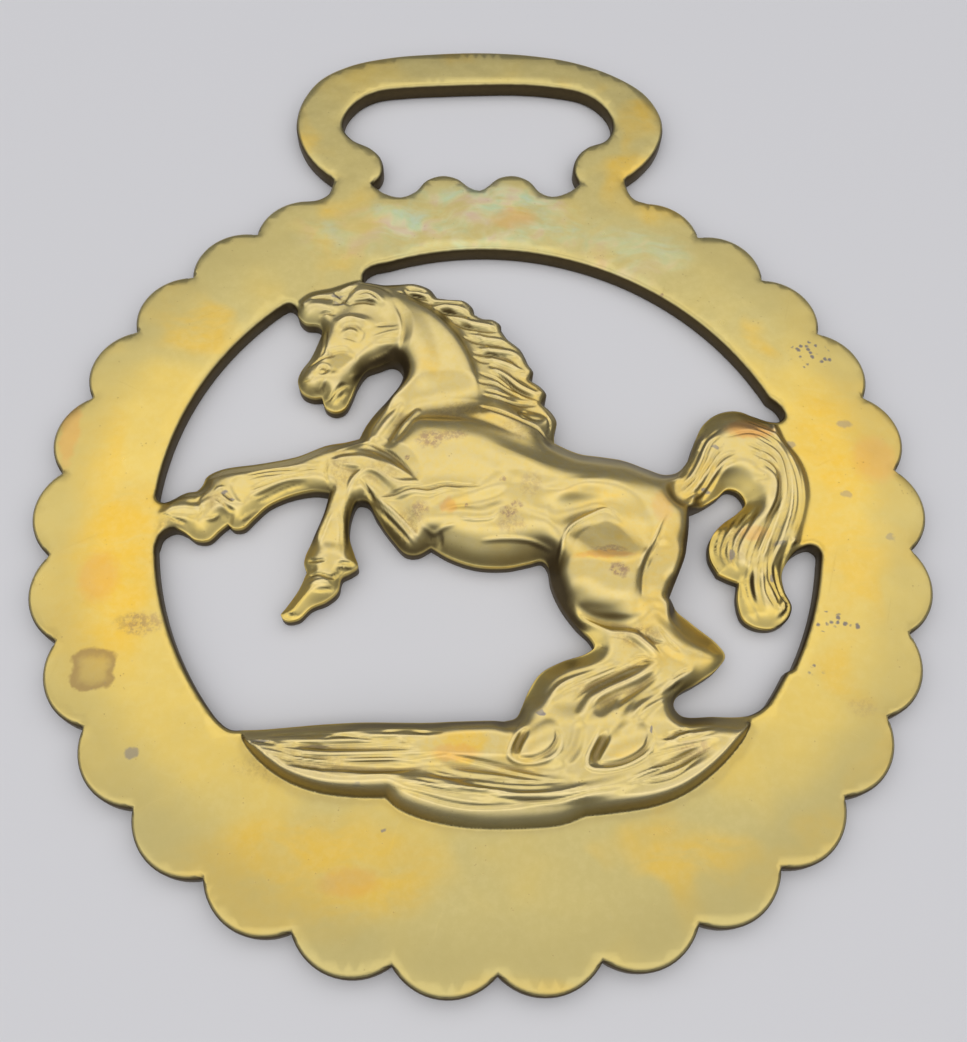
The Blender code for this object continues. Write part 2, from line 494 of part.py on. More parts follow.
def along(points, table):
    """How many half-widths each point is from the curve, and the height there. Both are smooth everywhere:

    each bead counts by a bell curve of its distance, and the logarithm of their sum gives the distance back.
    """
    keen = 6.0
    total = np.full(len(points), 1e-12)
    height = np.zeros(len(points))
    for x, y, width, bead_height, span in beads(table):
        gap = ((points[:, 0] - x) ** 2 + (points[:, 1] - y) ** 2) / width**2
        weight = span * np.sqrt(keen / np.pi) * np.exp(-keen * gap)
        total += weight
        height += weight * bead_height
    return np.sqrt(np.clip(-np.log(total) / keen, 0, None)), height / total


def soft_max(a, b, blend):
    """The larger of two heights, with a round of the blend's size where they cross."""
    return np.maximum(a, b) + np.maximum(blend - np.abs(a - b), 0) ** 2 / (4 * blend)


def soft_min(a, b, blend):
    """The smaller of two heights, with a round of the blend's size where they cross."""
    return -soft_max(-a, -b, blend)


def ease(x, start, end):
    """A smooth rise from 0 at start to 1 at end."""
    t = np.clip((x - start) / (end - start), 0, 1)
    return t * t * (3 - 2 * t)


def level(points):
    """The general height of the horse: the tables' heights, weighted by how near each bead is."""
    total = np.zeros(len(points))
    weights = np.zeros(len(points))
    for group, table in LEVELS:
        for x, y, width, height, span in beads(placed(group, table), 0.5):
            gap = ((points[:, 0] - x) ** 2 + (points[:, 1] - y) ** 2) / width**2
            weight = span / (0.15 + gap) ** 2
            total += weight * height
            weights += weight
    return total / weights


def reached(points, table):
    """Which points lie in the table's box, grown by its greatest half-width."""
    low = table[:, :2].min(axis=0) - 1.3 * table[:, 2].max()
    high = table[:, :2].max(axis=0) + 1.3 * table[:, 2].max()
    return ((points > low) & (points < high)).all(axis=1)


def body(z, points, table, blend, flatness, floor):
    """Joins in a rounded body, which falls to the floor at its half-width from its curve."""
    near = reached(points, table)
    share, height = along(points[near], table)
    swell = np.clip(1 - share**flatness, 0, 1)
    swell = floor[near] + (height - floor[near]) * swell
    z[near] = np.where(share < 1, soft_max(z[near], swell, blend), z[near])


def fold(z, points, table):
    """Lays on a soft ridge or hollow that fades out at its half-width."""
    near = reached(points, table)
    share, height = along(points[near], table)
    z[near] += height * np.clip(1 - share**2, 0, 1) ** 2


def ground(points):
    """The plate's face with the mound on it, which rises from its edge over a steep bank."""
    edge = closed(MOUND_EDGE, 0.5)
    bank = np.where(inside(points, edge), distance_to(points, [edge]), 0)
    return PLATE_TOP + MOUND_RISE * (1 - np.clip(1 - bank / MOUND_BANK, 0, 1) ** 2.2)


def hooves(z, points):
    """Stands the hind hooves on the ground: flat-topped bodies with round sides."""
    for outline in HOOVES:
        edge = closed([outline + outline[:1]], 0.5)
        near = reached(points, np.column_stack([edge, np.full((len(edge), 2), 1.0)]))
        depth = np.where(inside(points[near], edge), distance_to(points[near], [edge]), 0)
        rise = HOOF_RISE * (1 - np.clip(1 - depth / 1.3, 0, 1) ** 2)
        z[near] = soft_max(z[near], np.where(depth > 0, 3.0 + rise, 0), 0.15)


def relief(points, distance, loops):
    """The height of the face at each point, from the distance to the nearest outline."""
    x, y = points.T
    out = np.hypot((x - OPENING[0]) / OPENING[1], y / OPENING[2])
    low = ease(-y, -GROUND_Y - 0.2, -GROUND_Y + 0.8)
    on_rim = ease(out, 0.955, 0.985)
    plate = np.maximum(on_rim, low)
    z = (1 - plate) * level(points) + plate * ground(points)
    floor = z - 0.35
    for group, blend, flatness, table in BODIES:
        body(z, points, placed(group, table), blend, flatness, floor)
    for lock in LOCKS:
        body(z, points, placed("mane", lock), 0.12, 2.0, floor)
    hooves(z, points)
    for group, table in FOLDS:
        fold(z, points, placed(group, table))
    rounded = PLATE_TOP - PLATE_ROUND + np.sqrt(
        np.clip(PLATE_ROUND**2 - np.clip(PLATE_ROUND - distance, 0, PLATE_ROUND) ** 2, 0, None)
    )
    rim_edge = rounded + 5 * np.maximum(distance - PLATE_ROUND, 0)
    horse_edge = HORSE_EDGE + 1.6 * smooth_distance(points, distance, loops) ** 0.62
    by_rim = np.maximum(on_rim, ease(-y, 17.8, 18.6))
    edge = (1 - by_rim) * horse_edge + by_rim * rim_edge
    soft = (1 - by_rim) * (0.2 + 0.5 * np.clip(z - 2.2, 0, 1.9) ** 2) + by_rim * 0.05
    return soft_min(z, edge, soft)


# Mesh


def inset(loop, depth, solid_left):
    """The outline's points moved into the material along the mean of their two sides' normals."""
    ahead = np.roll(loop, -1, axis=0) - loop
    ahead /= np.linalg.norm(ahead, axis=1)[:, None]
    behind = np.roll(ahead, 1, axis=0)
    normal = np.column_stack([-(ahead + behind)[:, 1], (ahead + behind)[:, 0]])
    normal /= np.maximum(np.linalg.norm(normal, axis=1)[:, None], 1e-6)
    return loop + depth * normal * (1 if solid_left else -1)


def turns_left(loop):
    """Whether the closed outline runs anticlockwise."""
    x, y = loop.T
    return (x * np.roll(y, -1) - np.roll(x, -1) * y).sum() > 0


def hexagons(x_range, y_range, step):
    """Points on a grid of equal triangles."""
    rows = np.arange(*y_range, step * np.sqrt(3) / 2)
    columns = np.arange(*x_range, step)
    x = columns[None, :] + step / 2 * (np.arange(len(rows)) % 2)[:, None]
    y = np.repeat(rows[:, None], len(columns), axis=1)
    return np.column_stack([x.ravel(), y.ravel()])


def spread(points, gap):
    """The points, without those that come closer than the gap to one kept before."""
    kept = []
    for point in points:
        if not kept or np.hypot(*(np.array(kept) - point).T).min() > gap:
            kept.append(point)
    return np.array(kept)


def triangulated(points, loops):
    """Triangles over the points that keep every outline's sides, without those in the open spaces."""
    sides = []
    start = 0
    for loop in loops:
        count = len(loop)
        sides += [(start + i, start + (i + 1) % count) for i in range(count)]
        start += count
    flat = [Vector(point) for point in points]
    vertices, _, faces, origins, _, _ = delaunay_2d_cdt(flat, sides, [], 0, 1e-5)
    if len(vertices) != len(points):
        raise ValueError("two outlines cross or touch")
    index = np.array([origin[0] for origin in origins])
    faces = index[np.array([list(face) for face in faces])]
    middle = points[faces].mean(axis=1)
    solid = inside(middle, loops[0])
    for loop in loops[1:]:
        solid &= ~inside(middle, loop)
    return faces[solid]


def free_edges(faces):
    """The triangles' sides that no other triangle shares, each in its triangle's direction."""
    sides = np.vstack([faces[:, [0, 1]], faces[:, [1, 2]], faces[:, [2, 0]]])
    known = {tuple(side) for side in sides.tolist()}
    return np.array([side for side in sides.tolist() if (side[1], side[0]) not in known])


def face_points(loops):
    """Points for the face: a ring inside every outline, a fine grid on the relief and a wide one elsewhere."""
    rings = [inset(loop, EDGE_RING, turns_left(loop) == (i == 0)) for i, loop in enumerate(loops)]
    rings = np.vstack(rings)
    rings = rings[distance_to(rings, loops) > 0.85 * EDGE_RING]
    mound = closed(MOUND_EDGE, 1.3)
    feet = np.vstack([inset(mound, depth, turns_left(mound)) for depth in (-0.05, 0.6)])
    feet = feet[feet[:, 1] < GROUND_Y - 1.0]
    fine = hexagons((-29, 29), (-27, 27), RELIEF_STEP)
    out = np.hypot((fine[:, 0] - OPENING[0]) / OPENING[1], fine[:, 1] / OPENING[2])
    fine = fine[((out < 0.99) & (fine[:, 1] > GROUND_Y)) | inside(fine, mound)]
    fine = fine[distance_to(fine, loops) > 0.8]
    wide = hexagons((-40, 40), (-40, 56), PLATE_STEP)
    out = np.hypot(wide[:, 0] / OPENING[1], wide[:, 1] / OPENING[2])
    wide = wide[(out > 1.1) & (distance_to(wide, loops) > 1.6)]
    added = spread(np.vstack([rings, feet, fine, wide]), 0.42)
    held = inside(added, loops[0])
    for loop in loops[1:]:
        held &= ~inside(added, loop)
    return added[held]


def build():
    """The closed body: the face's relief, the flat back and the walls between them."""
    loops = [rim_outline(CURVE_STEP, 1.5)] + list(openings(CURVE_STEP, RIM_STEP).values())
    outline = np.vstack(loops)
    points = np.vstack([outline, face_points(loops)])
    distance = distance_to(points, loops)
    distance[: len(outline)] = 0
    face = triangulated(points, loops)
    back = triangulated(outline, loops)[:, ::-1]
    back_start = len(points)
    edges = free_edges(face)
    a, b = edges.T
    walls = np.vstack(
        [
            np.column_stack([b, a, a + back_start]),
            np.column_stack([b, a + back_start, b + back_start]),
        ]
    )
    top = np.column_stack([points, relief(points, distance, loops)])
    under = np.column_stack([outline, np.zeros(len(outline))])
    vertices = np.vstack([top, under]) * MM
    faces = np.vstack([face, back + back_start, walls])
    mesh = bpy.data.meshes.new("horse_brass")
    mesh.from_pydata(vertices.tolist(), [], faces.tolist())
    return mesh


def main():
    for obj in list(bpy.data.objects):
        bpy.data.objects.remove(obj)
    collection = bpy.data.collections.new("horse_brass")
    bpy.context.scene.collection.children.link(collection)
    body_object = bpy.data.objects.new("horse_brass", build())
    collection.objects.link(body_object)
    material = bpy.data.materials.new("brass")
    material.use_nodes = True
    shader = material.node_tree.nodes["Principled BSDF"]
    shader.inputs["Base Color"].default_value = BRASS
    shader.inputs["Metallic"].default_value = 1.0
    shader.inputs["Roughness"].default_value = 0.3
    body_object.data.materials.append(material)


main()
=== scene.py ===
"""Horse brass: the cast face with its fine carving, in polished brass with its tarnish, on a pale table.

The casting lies on its flat back in the plane z = 0, with the face up and the hanger towards +Y.
Lengths are in millimetres, up to the point where the mesh is made. Heights are above the flat back.
"""

import bpy
import numpy as np
from mathutils import Matrix, Vector
from mathutils.geometry import delaunay_2d_cdt


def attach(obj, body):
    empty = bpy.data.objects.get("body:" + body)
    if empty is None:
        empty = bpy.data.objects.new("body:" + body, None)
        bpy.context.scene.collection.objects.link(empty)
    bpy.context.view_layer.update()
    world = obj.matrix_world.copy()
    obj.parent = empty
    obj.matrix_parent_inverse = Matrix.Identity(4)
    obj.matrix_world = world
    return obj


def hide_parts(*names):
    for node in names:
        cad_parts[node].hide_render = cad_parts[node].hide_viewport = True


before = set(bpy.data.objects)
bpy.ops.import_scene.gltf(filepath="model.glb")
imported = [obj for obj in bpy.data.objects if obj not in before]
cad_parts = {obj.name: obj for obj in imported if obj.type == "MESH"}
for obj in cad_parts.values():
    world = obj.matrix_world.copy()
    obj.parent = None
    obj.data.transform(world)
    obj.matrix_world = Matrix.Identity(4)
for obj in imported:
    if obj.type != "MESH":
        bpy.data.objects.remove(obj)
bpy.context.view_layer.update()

MM = 0.001

# Plate and rim: 30 scallops fill the circle, and the hanger stands in place of four of them.
PLATE_TOP = 1.7
PLATE_ROUND = 0.55
BACK_ROUND = 0.15
SCALLOPS = 30
CAST_SCALLOPS = range(2, 28)
CUSP_RADIUS = 36.0
TIP_RADIUS = 37.66
SCALLOP_TURN = 89.5
# The round opening: its centre's x, and its half-sizes in x and y.
OPENING = (0.2, 27.85, 27.4)
# Ground and mound
GROUND_Y = -17.0
MOUND_RISE = 1.35
MOUND_BANK = 1.9
MOUND_POWER = 1.8
# The mound's bank narrows to this share of its width at the sides, by a bell curve of this half-width in x.
MOUND_SIDE = 0.35
MOUND_MIDDLE = 10.0
# No part of the face is higher.
RELIEF_TOP = 4.3

# Mesh sizes
COARSE = 1.0
CURVE_STEP = 0.22 * COARSE
HANGER_STEP = 0.5
RIM_STEP = 0.45
MOUND_STEP = 0.3
RELIEF_STEP = 0.135 * COARSE
RELIEF_BOX = ((-29, 29), (-27, 27))
PLATE_STEP = 0.9
PLATE_BOX = ((-40, 40), (-40, 56))
# Rings of points inside every outline, and on both sides of the mound's foot.
EDGE_RINGS = (0.05, 0.13, 0.24, 0.38)
FOOT_RINGS = (-1.0, -0.6, -0.3, -0.12, -0.02, 0.12, 0.3)
FOOT_TOP = GROUND_Y - 1.0
# A ring's points keep this share of its depth from every side. Ring points in one square of the spread's size
# become one, and the grids begin this gap past the last ring.
RING_SHARE = 0.93
RING_SPREAD = 0.04
RING_GAP = 0.1
# The fine grid ends and the wide one begins at these shares of the round opening's half-sizes.
FINE_OUT = 1.02
WIDE_OUT = 1.03
# Two points that are nearer than this are one.
SAME_POINT = 0.02


# Curves


def at(angle, radius):
    """The point at an angle in degrees and a radius from the centre of the rim."""
    return radius * np.cos(np.radians(angle)), radius * np.sin(np.radians(angle))


def spline(points, step):
    """A smooth curve through the points: a centripetal Catmull-Rom spline, whose knots lie root(chord) apart.

    Columns after x and y go along with them.
    """
    p = np.asarray(points, float)
    p = np.vstack([2 * p[0] - p[1], p, 2 * p[-1] - p[-2]])
    out = []
    for a, b, c, d in zip(p[:-3], p[1:-2], p[2:-1], p[3:]):
        count = max(int(np.ceil(np.hypot(*(c - b)[:2]) / step)), 1)
        t1 = np.linalg.norm(b - a) ** 0.5
        t2 = t1 + np.linalg.norm(c - b) ** 0.5
        t3 = t2 + np.linalg.norm(d - c) ** 0.5
        t = np.linspace(t1, t2, count + 1)[:-1, None]
        ab = (t1 - t) / t1 * a + t / t1 * b
        bc = (t2 - t) / (t2 - t1) * b + (t - t1) / (t2 - t1) * c
        cd = (t3 - t) / (t3 - t2) * c + (t - t2) / (t3 - t2) * d
        first = (t2 - t) / t2 * ab + t / t2 * bc
        second = (t3 - t) / (t3 - t1) * bc + (t - t1) / (t3 - t1) * cd
        out.append((t2 - t) / (t2 - t1) * first + (t - t1) / (t2 - t1) * second)
    out.append(p[-2:-1])
    return np.vstack(out)


def rim_arc(start, end, radius, end_radius, step):
    """Part of the round opening's edge, with a radius that changes evenly from start to end."""
    count = max(int(abs(np.radians(end - start)) * radius / step), 1)
    x, y = at(np.linspace(start, end, count + 1), np.linspace(radius, end_radius, count + 1))
    return np.column_stack([x, y])


def scallop(index, step):
    """One lobe of the rim: the circular arc through two cusps and the tip between them."""
    half = np.pi / SCALLOPS
    middle = np.radians(SCALLOP_TURN) + 2 * half * (index + 0.5)
    chord = CUSP_RADIUS * np.sin(half)
    sag = TIP_RADIUS - CUSP_RADIUS * np.cos(half)
    radius = (chord * chord + sag * sag) / (2 * sag)
    centre = TIP_RADIUS - radius
    swing = np.arctan2(chord, CUSP_RADIUS * np.cos(half) - centre)
    count = max(int(2 * swing * radius / step), 4)
    turn = middle + np.linspace(-swing, swing, count + 1)
    return np.column_stack(
        [
            centre * np.cos(middle) + radius * np.cos(turn),
            centre * np.sin(middle) + radius * np.sin(turn),
        ]
    )


def closed(runs, step):
    """One closed outline from runs that meet at corners. A run is a table of points or a sampled arc."""
    out = []
    for run in runs:
        curve = run if isinstance(run, np.ndarray) else spline(run, step)
        if out and np.hypot(*(out[-1][-1] - curve[0])) < SAME_POINT:
            curve = curve[1:]
        out.append(curve)
    loop = np.vstack(out)
    if np.hypot(*(loop[0] - loop[-1])) < SAME_POINT:
        loop = loop[:-1]
    return loop


# Outlines

HANGER = [
    (14.9, 36.0), (16.6, 37.5), (18.3, 39.7), (19.3, 42.4), (19.2, 44.8), (17.8, 47.7), (14.6, 50.3),
    (10.5, 52.1), (6.0, 53.0), (1.0, 53.3), (-4.0, 53.05), (-8.5, 52.5), (-12.6, 51.3), (-15.6, 49.3),
    (-17.2, 46.6), (-17.8, 43.8), (-17.6, 41.7), (-16.6, 39.1), (-15.2, 37.2), (-13.9, 36.0),
]
LEFT_NECK = [(-13.9, 36.0), (-14.3, 34.3), (-15.3, 33.55), (-16.9, 33.35)]
RIGHT_NECK = [(16.9, 33.1), (15.7, 33.6), (15.1, 34.6), (14.9, 36.0)]
SLOT_TOP = [
    (-10.1, 35.5), (-9.4, 36.1), (-9.0, 37.3), (-9.3, 38.9), (-10.3, 40.1), (-12.0, 41.1), (-12.95, 42.4),
    (-13.05, 43.6), (-12.5, 45.1), (-11.3, 46.6), (-9.6, 47.6), (-6.5, 48.1), (-3.0, 48.35), (1.0, 48.55),
    (5.0, 48.6), (8.8, 48.2), (11.4, 47.5), (13.2, 46.0), (14.05, 44.3), (14.1, 42.7), (13.3, 41.2),
    (11.4, 40.3), (10.3, 39.1), (9.8, 37.3), (10.2, 35.5),
]
SLOT_WAVES = [
    (10.2, 35.5), (9.2, 34.6), (7.5, 34.0), (6.4, 34.5), (5.4, 35.9), (3.9, 36.6), (2.3, 36.3), (1.1, 35.2),
    (0.4, 34.75), (-0.5, 35.1), (-1.7, 36.2), (-3.2, 36.6), (-4.8, 36.0), (-5.9, 34.6), (-7.3, 33.9),
    (-8.9, 34.4), (-10.1, 35.5),
]
MANE_EDGE = [
    [(-10.7, 23.7), (-9.0, 23.15), (-7.5, 23.15), (-6.0, 23.2), (-4.6, 22.6), (-3.9, 21.6)],
    [(-3.9, 21.6), (-2.8, 21.4), (-1.4, 21.2), (-0.65, 20.4), (-0.5, 19.7)],
    [(-0.5, 19.7), (0.2, 19.25), (1.2, 19.1), (1.85, 18.5), (1.9, 17.9)],
    [(1.9, 17.9), (2.4, 17.0), (3.5, 15.9), (3.95, 14.9), (4.15, 14.3), (4.6, 13.4), (4.3, 12.6)],
    [(4.3, 12.6), (5.2, 11.9), (5.65, 11.1), (5.2, 10.2)],
    [(5.2, 10.2), (6.0, 9.3), (6.4, 8.3), (6.1, 7.2), (6.1, 6.4)],
]
BACK_AND_TAIL = [
    (6.1, 6.4), (8.0, 5.45), (10.0, 5.1), (12.0, 4.7), (14.0, 3.85), (15.5, 3.25), (16.6, 3.4), (17.6, 4.5),
    (18.4, 6.3), (19.3, 8.0), (20.7, 9.15), (22.4, 9.5), (24.0, 9.0), (25.4, 8.5), (26.3, 8.5), (26.8, 9.1),
    (26.5, 10.0), at(23, 27.85),
]
POLL = [at(108, 27.2), (-9.8, 25.5), (-10.6, 24.8), (-10.7, 23.7)]
RAISED_LEG_TOP = [
    at(175, 27.7), (-27.6, 1.7), (-27.1, 1.25), (-26.2, 1.45), (-25.0, 2.05), (-24.3, 2.2), (-23.9, 2.7),
    (-23.6, 3.5), (-22.4, 4.2), (-19.0, 4.75), (-16.0, 5.4), (-13.6, 6.4), (-12.0, 6.7), (-10.8, 7.0),
]
THROAT_AND_JAW = [
    (-10.8, 7.0), (-10.2, 8.3), (-9.2, 9.8), (-8.1, 11.1), (-7.2, 12.5), (-7.0, 13.7), (-7.4, 14.7),
    (-8.1, 15.0), (-9.2, 14.6), (-10.3, 14.1), (-11.1, 12.8), (-11.7, 11.1), (-12.2, 10.2), (-13.0, 9.9),
    (-13.8, 10.3), (-14.2, 11.4),
]
FACE = [
    (-14.2, 11.4), (-15.0, 11.35), (-15.9, 11.8), (-16.35, 12.9), (-16.1, 14.0), (-15.3, 15.3),
    (-14.7, 16.8), (-14.35, 18.3), (-14.8, 18.9), (-15.9, 19.1), (-16.5, 19.7), (-16.9, 20.8),
    (-17.5, 21.25), at(131, 27.7),
]
RAISED_HOOF = [
    at(186, 27.4), (-26.9, -1.7), (-26.0, -1.2), (-25.1, -1.5), (-24.1, -2.2), (-23.1, -2.2), (-22.2, -1.3),
    (-21.6, -0.75),
]
RAISED_LEG_UNDER = [
    (-21.6, -0.75), (-21.1, -1.2), (-20.3, -1.15), (-19.4, -0.2), (-18.3, 0.9), (-16.5, 1.75),
    (-14.5, 2.1), (-13.15, 1.9),
]
BENT_LEG_FRONT = [
    (-13.15, 1.9), (-13.6, -0.2), (-14.4, -2.4), (-15.0, -3.8), (-15.1, -4.6), (-14.85, -5.3),
]
BENT_LEG_BACK = [
    (-14.85, -5.3), (-15.4, -6.7), (-16.4, -8.3), (-16.8, -8.9), (-16.4, -9.35), (-15.4, -9.25),
    (-14.4, -8.3), (-13.2, -7.8), (-12.3, -7.0), (-12.0, -5.8), (-11.3, -5.4), (-10.7, -4.9),
    (-10.95, -4.0), (-11.5, -2.0), (-11.3, 0.1), (-10.8, 1.1), (-10.0, 0.95), (-9.2, -0.5), (-8.0, -2.3),
    (-6.8, -3.65), (-5.8, -3.75), (-4.7, -3.15),
]
BELLY_AND_SHIN = [
    (-4.7, -3.15), (-3.2, -4.1), (-1.0, -4.9), (1.5, -5.05), (3.4, -4.7), (4.5, -4.5), (4.95, -5.1),
    (5.15, -6.6), (5.8, -8.4), (7.0, -10.3), (8.0, -11.4), (8.25, -12.1), (7.5, -12.7), (5.5, -13.3),
    (3.8, -14.2), (2.8, -15.6), (2.2, -16.9), (1.7, -17.75), (0.8, -18.0),
]
GROUND_LEFT = [
    (0.8, -18.0), (-5.0, -18.0), (-12.0, -17.85), (-18.6, -18.2), (-20.2, -18.05), (-21.1, -17.4),
    at(217.5, 27.4),
]
BUTTOCK = [(14.6, -8.2), (15.3, -6.7), (16.3, -4.4), (16.8, -2.0), (17.0, -0.3)]
TAIL_INNER = [
    (17.0, -0.3), (18.3, 0.2), (19.8, 1.1), (20.9, 1.95), (21.8, 1.65), (22.25, 0.6), (21.5, -0.3),
    (19.9, -1.5), (18.8, -2.8), (18.55, -4.4), (19.1, -5.9),
]
TAIL_KINK = [(19.1, -5.9), (19.9, -6.35), (20.7, -6.7)]
TAIL_END = [
    (20.7, -6.7), (20.4, -8.3), (20.7, -9.9), (21.7, -10.6), (23.0, -10.7), (24.2, -10.1), (24.8, -9.0),
    (24.4, -7.4), (24.4, -6.0), (25.2, -4.7), (26.3, -3.85), (27.3, -3.6), (27.85, -4.1), at(349, 28.15),
]
HOCK_AND_GROUND = [
    at(322, 27.45), (20.9, -17.45), (19.6, -17.95), (17.0, -17.95), (14.6, -17.85), (14.1, -17.0),
    (14.6, -16.1), (16.2, -15.2), (17.9, -14.1), (18.75, -12.95), (18.2, -11.9), (16.6, -10.4),
    (15.1, -9.0), (14.6, -8.2),
]
MOUND_EDGE = [
    [
        (-19.4, -18.2), (-17.6, -16.4), (-14.0, -15.0), (0.0, -14.6), (14.0, -15.0), (17.8, -16.4),
        (20.0, -17.9), (19.6, -19.2), (18.2, -20.9), (16.2, -22.6), (14.1, -23.9), (11.8, -24.7),
        (9.0, -25.1), (6.6, -25.3),
    ],
    [(6.6, -25.3), (4.8, -25.9), (1.5, -26.1), (-2.5, -25.9), (-5.6, -25.2), (-7.4, -24.4), (-8.3, -23.6)],
    [
        (-8.3, -23.6), (-10.5, -23.5), (-13.2, -23.1), (-15.6, -22.2), (-17.6, -20.8), (-19.0, -19.2),
        (-19.4, -18.2),
    ],
]


# Relief

# The general height of each mass and limb, along its middle: rows of x, y, half-width and height.
LEVELS = [
    # Neck, back and belly.
    [(-3.4, 10.3, 3.4, 3.0), (-4.2, 14.4, 3.1, 3.35), (-5.4, 17.9, 2.7, 3.65), (-7.4, 20.2, 1.9, 3.4)],
    [(-5.8, 4.4, 3.0, 3.7), (-2.8, 4.7, 3.6, 4.05), (1.2, 3.7, 3.8, 4.2), (5.0, 2.3, 3.4, 4.2),
     (9.0, 1.1, 3.2, 4.15), (12.4, -0.6, 2.8, 4.0), (14.3, -2.8, 2.2, 3.8)],
    [(-4.6, -0.4, 2.0, 3.3), (-1.6, -1.4, 2.2, 3.6), (1.6, -2.0, 2.2, 3.8), (4.4, -2.3, 2.0, 3.85)],
    # Head, forelock and mane.
    [(-9.5, 18.0, 2.8, 2.85), (-11.2, 15.6, 2.5, 2.65), (-12.9, 13.0, 2.1, 2.45), (-13.2, 10.7, 1.6, 2.3)],
    [(-15.6, 20.0, 1.5, 2.3), (-13.2, 20.4, 1.6, 2.5)],
    [(-6.4, 21.9, 0.9, 2.45), (-2.2, 19.8, 1.3, 2.4), (1.2, 16.6, 1.5, 2.35), (2.9, 12.8, 1.5, 2.35),
     (4.7, 8.8, 1.3, 2.35)],
    # Chest, raised leg and bent leg.
    [(-8.5, 6.8, 1.6, 2.6), (-7.8, 8.8, 1.5, 2.5)],
    [(-12.6, 4.4, 1.9, 2.5), (-16.6, 3.2, 2.0, 2.4), (-20.2, 2.1, 1.8, 2.35), (-22.6, 1.2, 1.8, 2.4),
     (-25.2, -0.1, 1.5, 2.2), (-28.0, 0.2, 1.2, 2.0)],
    [(-11.7, 3.3, 1.3, 2.5), (-12.1, 0.4, 1.4, 2.35), (-12.9, -2.8, 1.8, 2.35), (-13.3, -5.4, 1.8, 2.35),
     (-15.7, -8.2, 1.2, 2.1)],
    # Elbow and forearm.
    [(-9.9, 4.4, 1.2, 2.9), (-8.0, 3.2, 1.2, 3.5), (-6.4, 2.2, 1.1, 3.7)],
    [(-9.8, 2.4, 1.3, 2.6), (-8.5, 0.2, 1.4, 2.6), (-6.6, -2.6, 1.4, 2.6)],
    # Thigh, hamstring, near and far hind leg.
    [(8.6, -6.8, 2.8, 4.05), (10.4, -5.6, 3.0, 4.15)],
    [(14.2, -4.8, 1.9, 3.4), (13.3, -7.6, 1.7, 3.0)],
    [(12.8, -10.2, 1.5, 2.75), (14.3, -11.6, 1.7, 2.65), (16.1, -13.1, 1.7, 2.5), (13.3, -15.4, 1.5, 2.55),
     (10.4, -18.0, 1.7, 2.95)],
    [(7.0, -9.8, 1.7, 2.2), (9.2, -12.0, 2.0, 2.45), (8.1, -14.1, 1.8, 2.4), (5.3, -15.9, 1.8, 2.55),
     (3.4, -17.6, 1.8, 2.9)],
    # Tail.
    [(16.5, 0.8, 1.3, 2.3), (18.2, 2.4, 1.7, 2.5), (19.6, 4.4, 2.2, 2.7), (22.2, 5.6, 2.4, 2.95),
     (24.6, 4.4, 2.6, 2.8), (25.2, 1.4, 2.8, 2.55), (24.0, -1.6, 2.7, 2.5), (22.5, -4.4, 2.4, 2.45),
     (22.6, -6.8, 2.0, 2.4), (22.8, -8.8, 1.8, 2.3)],
]
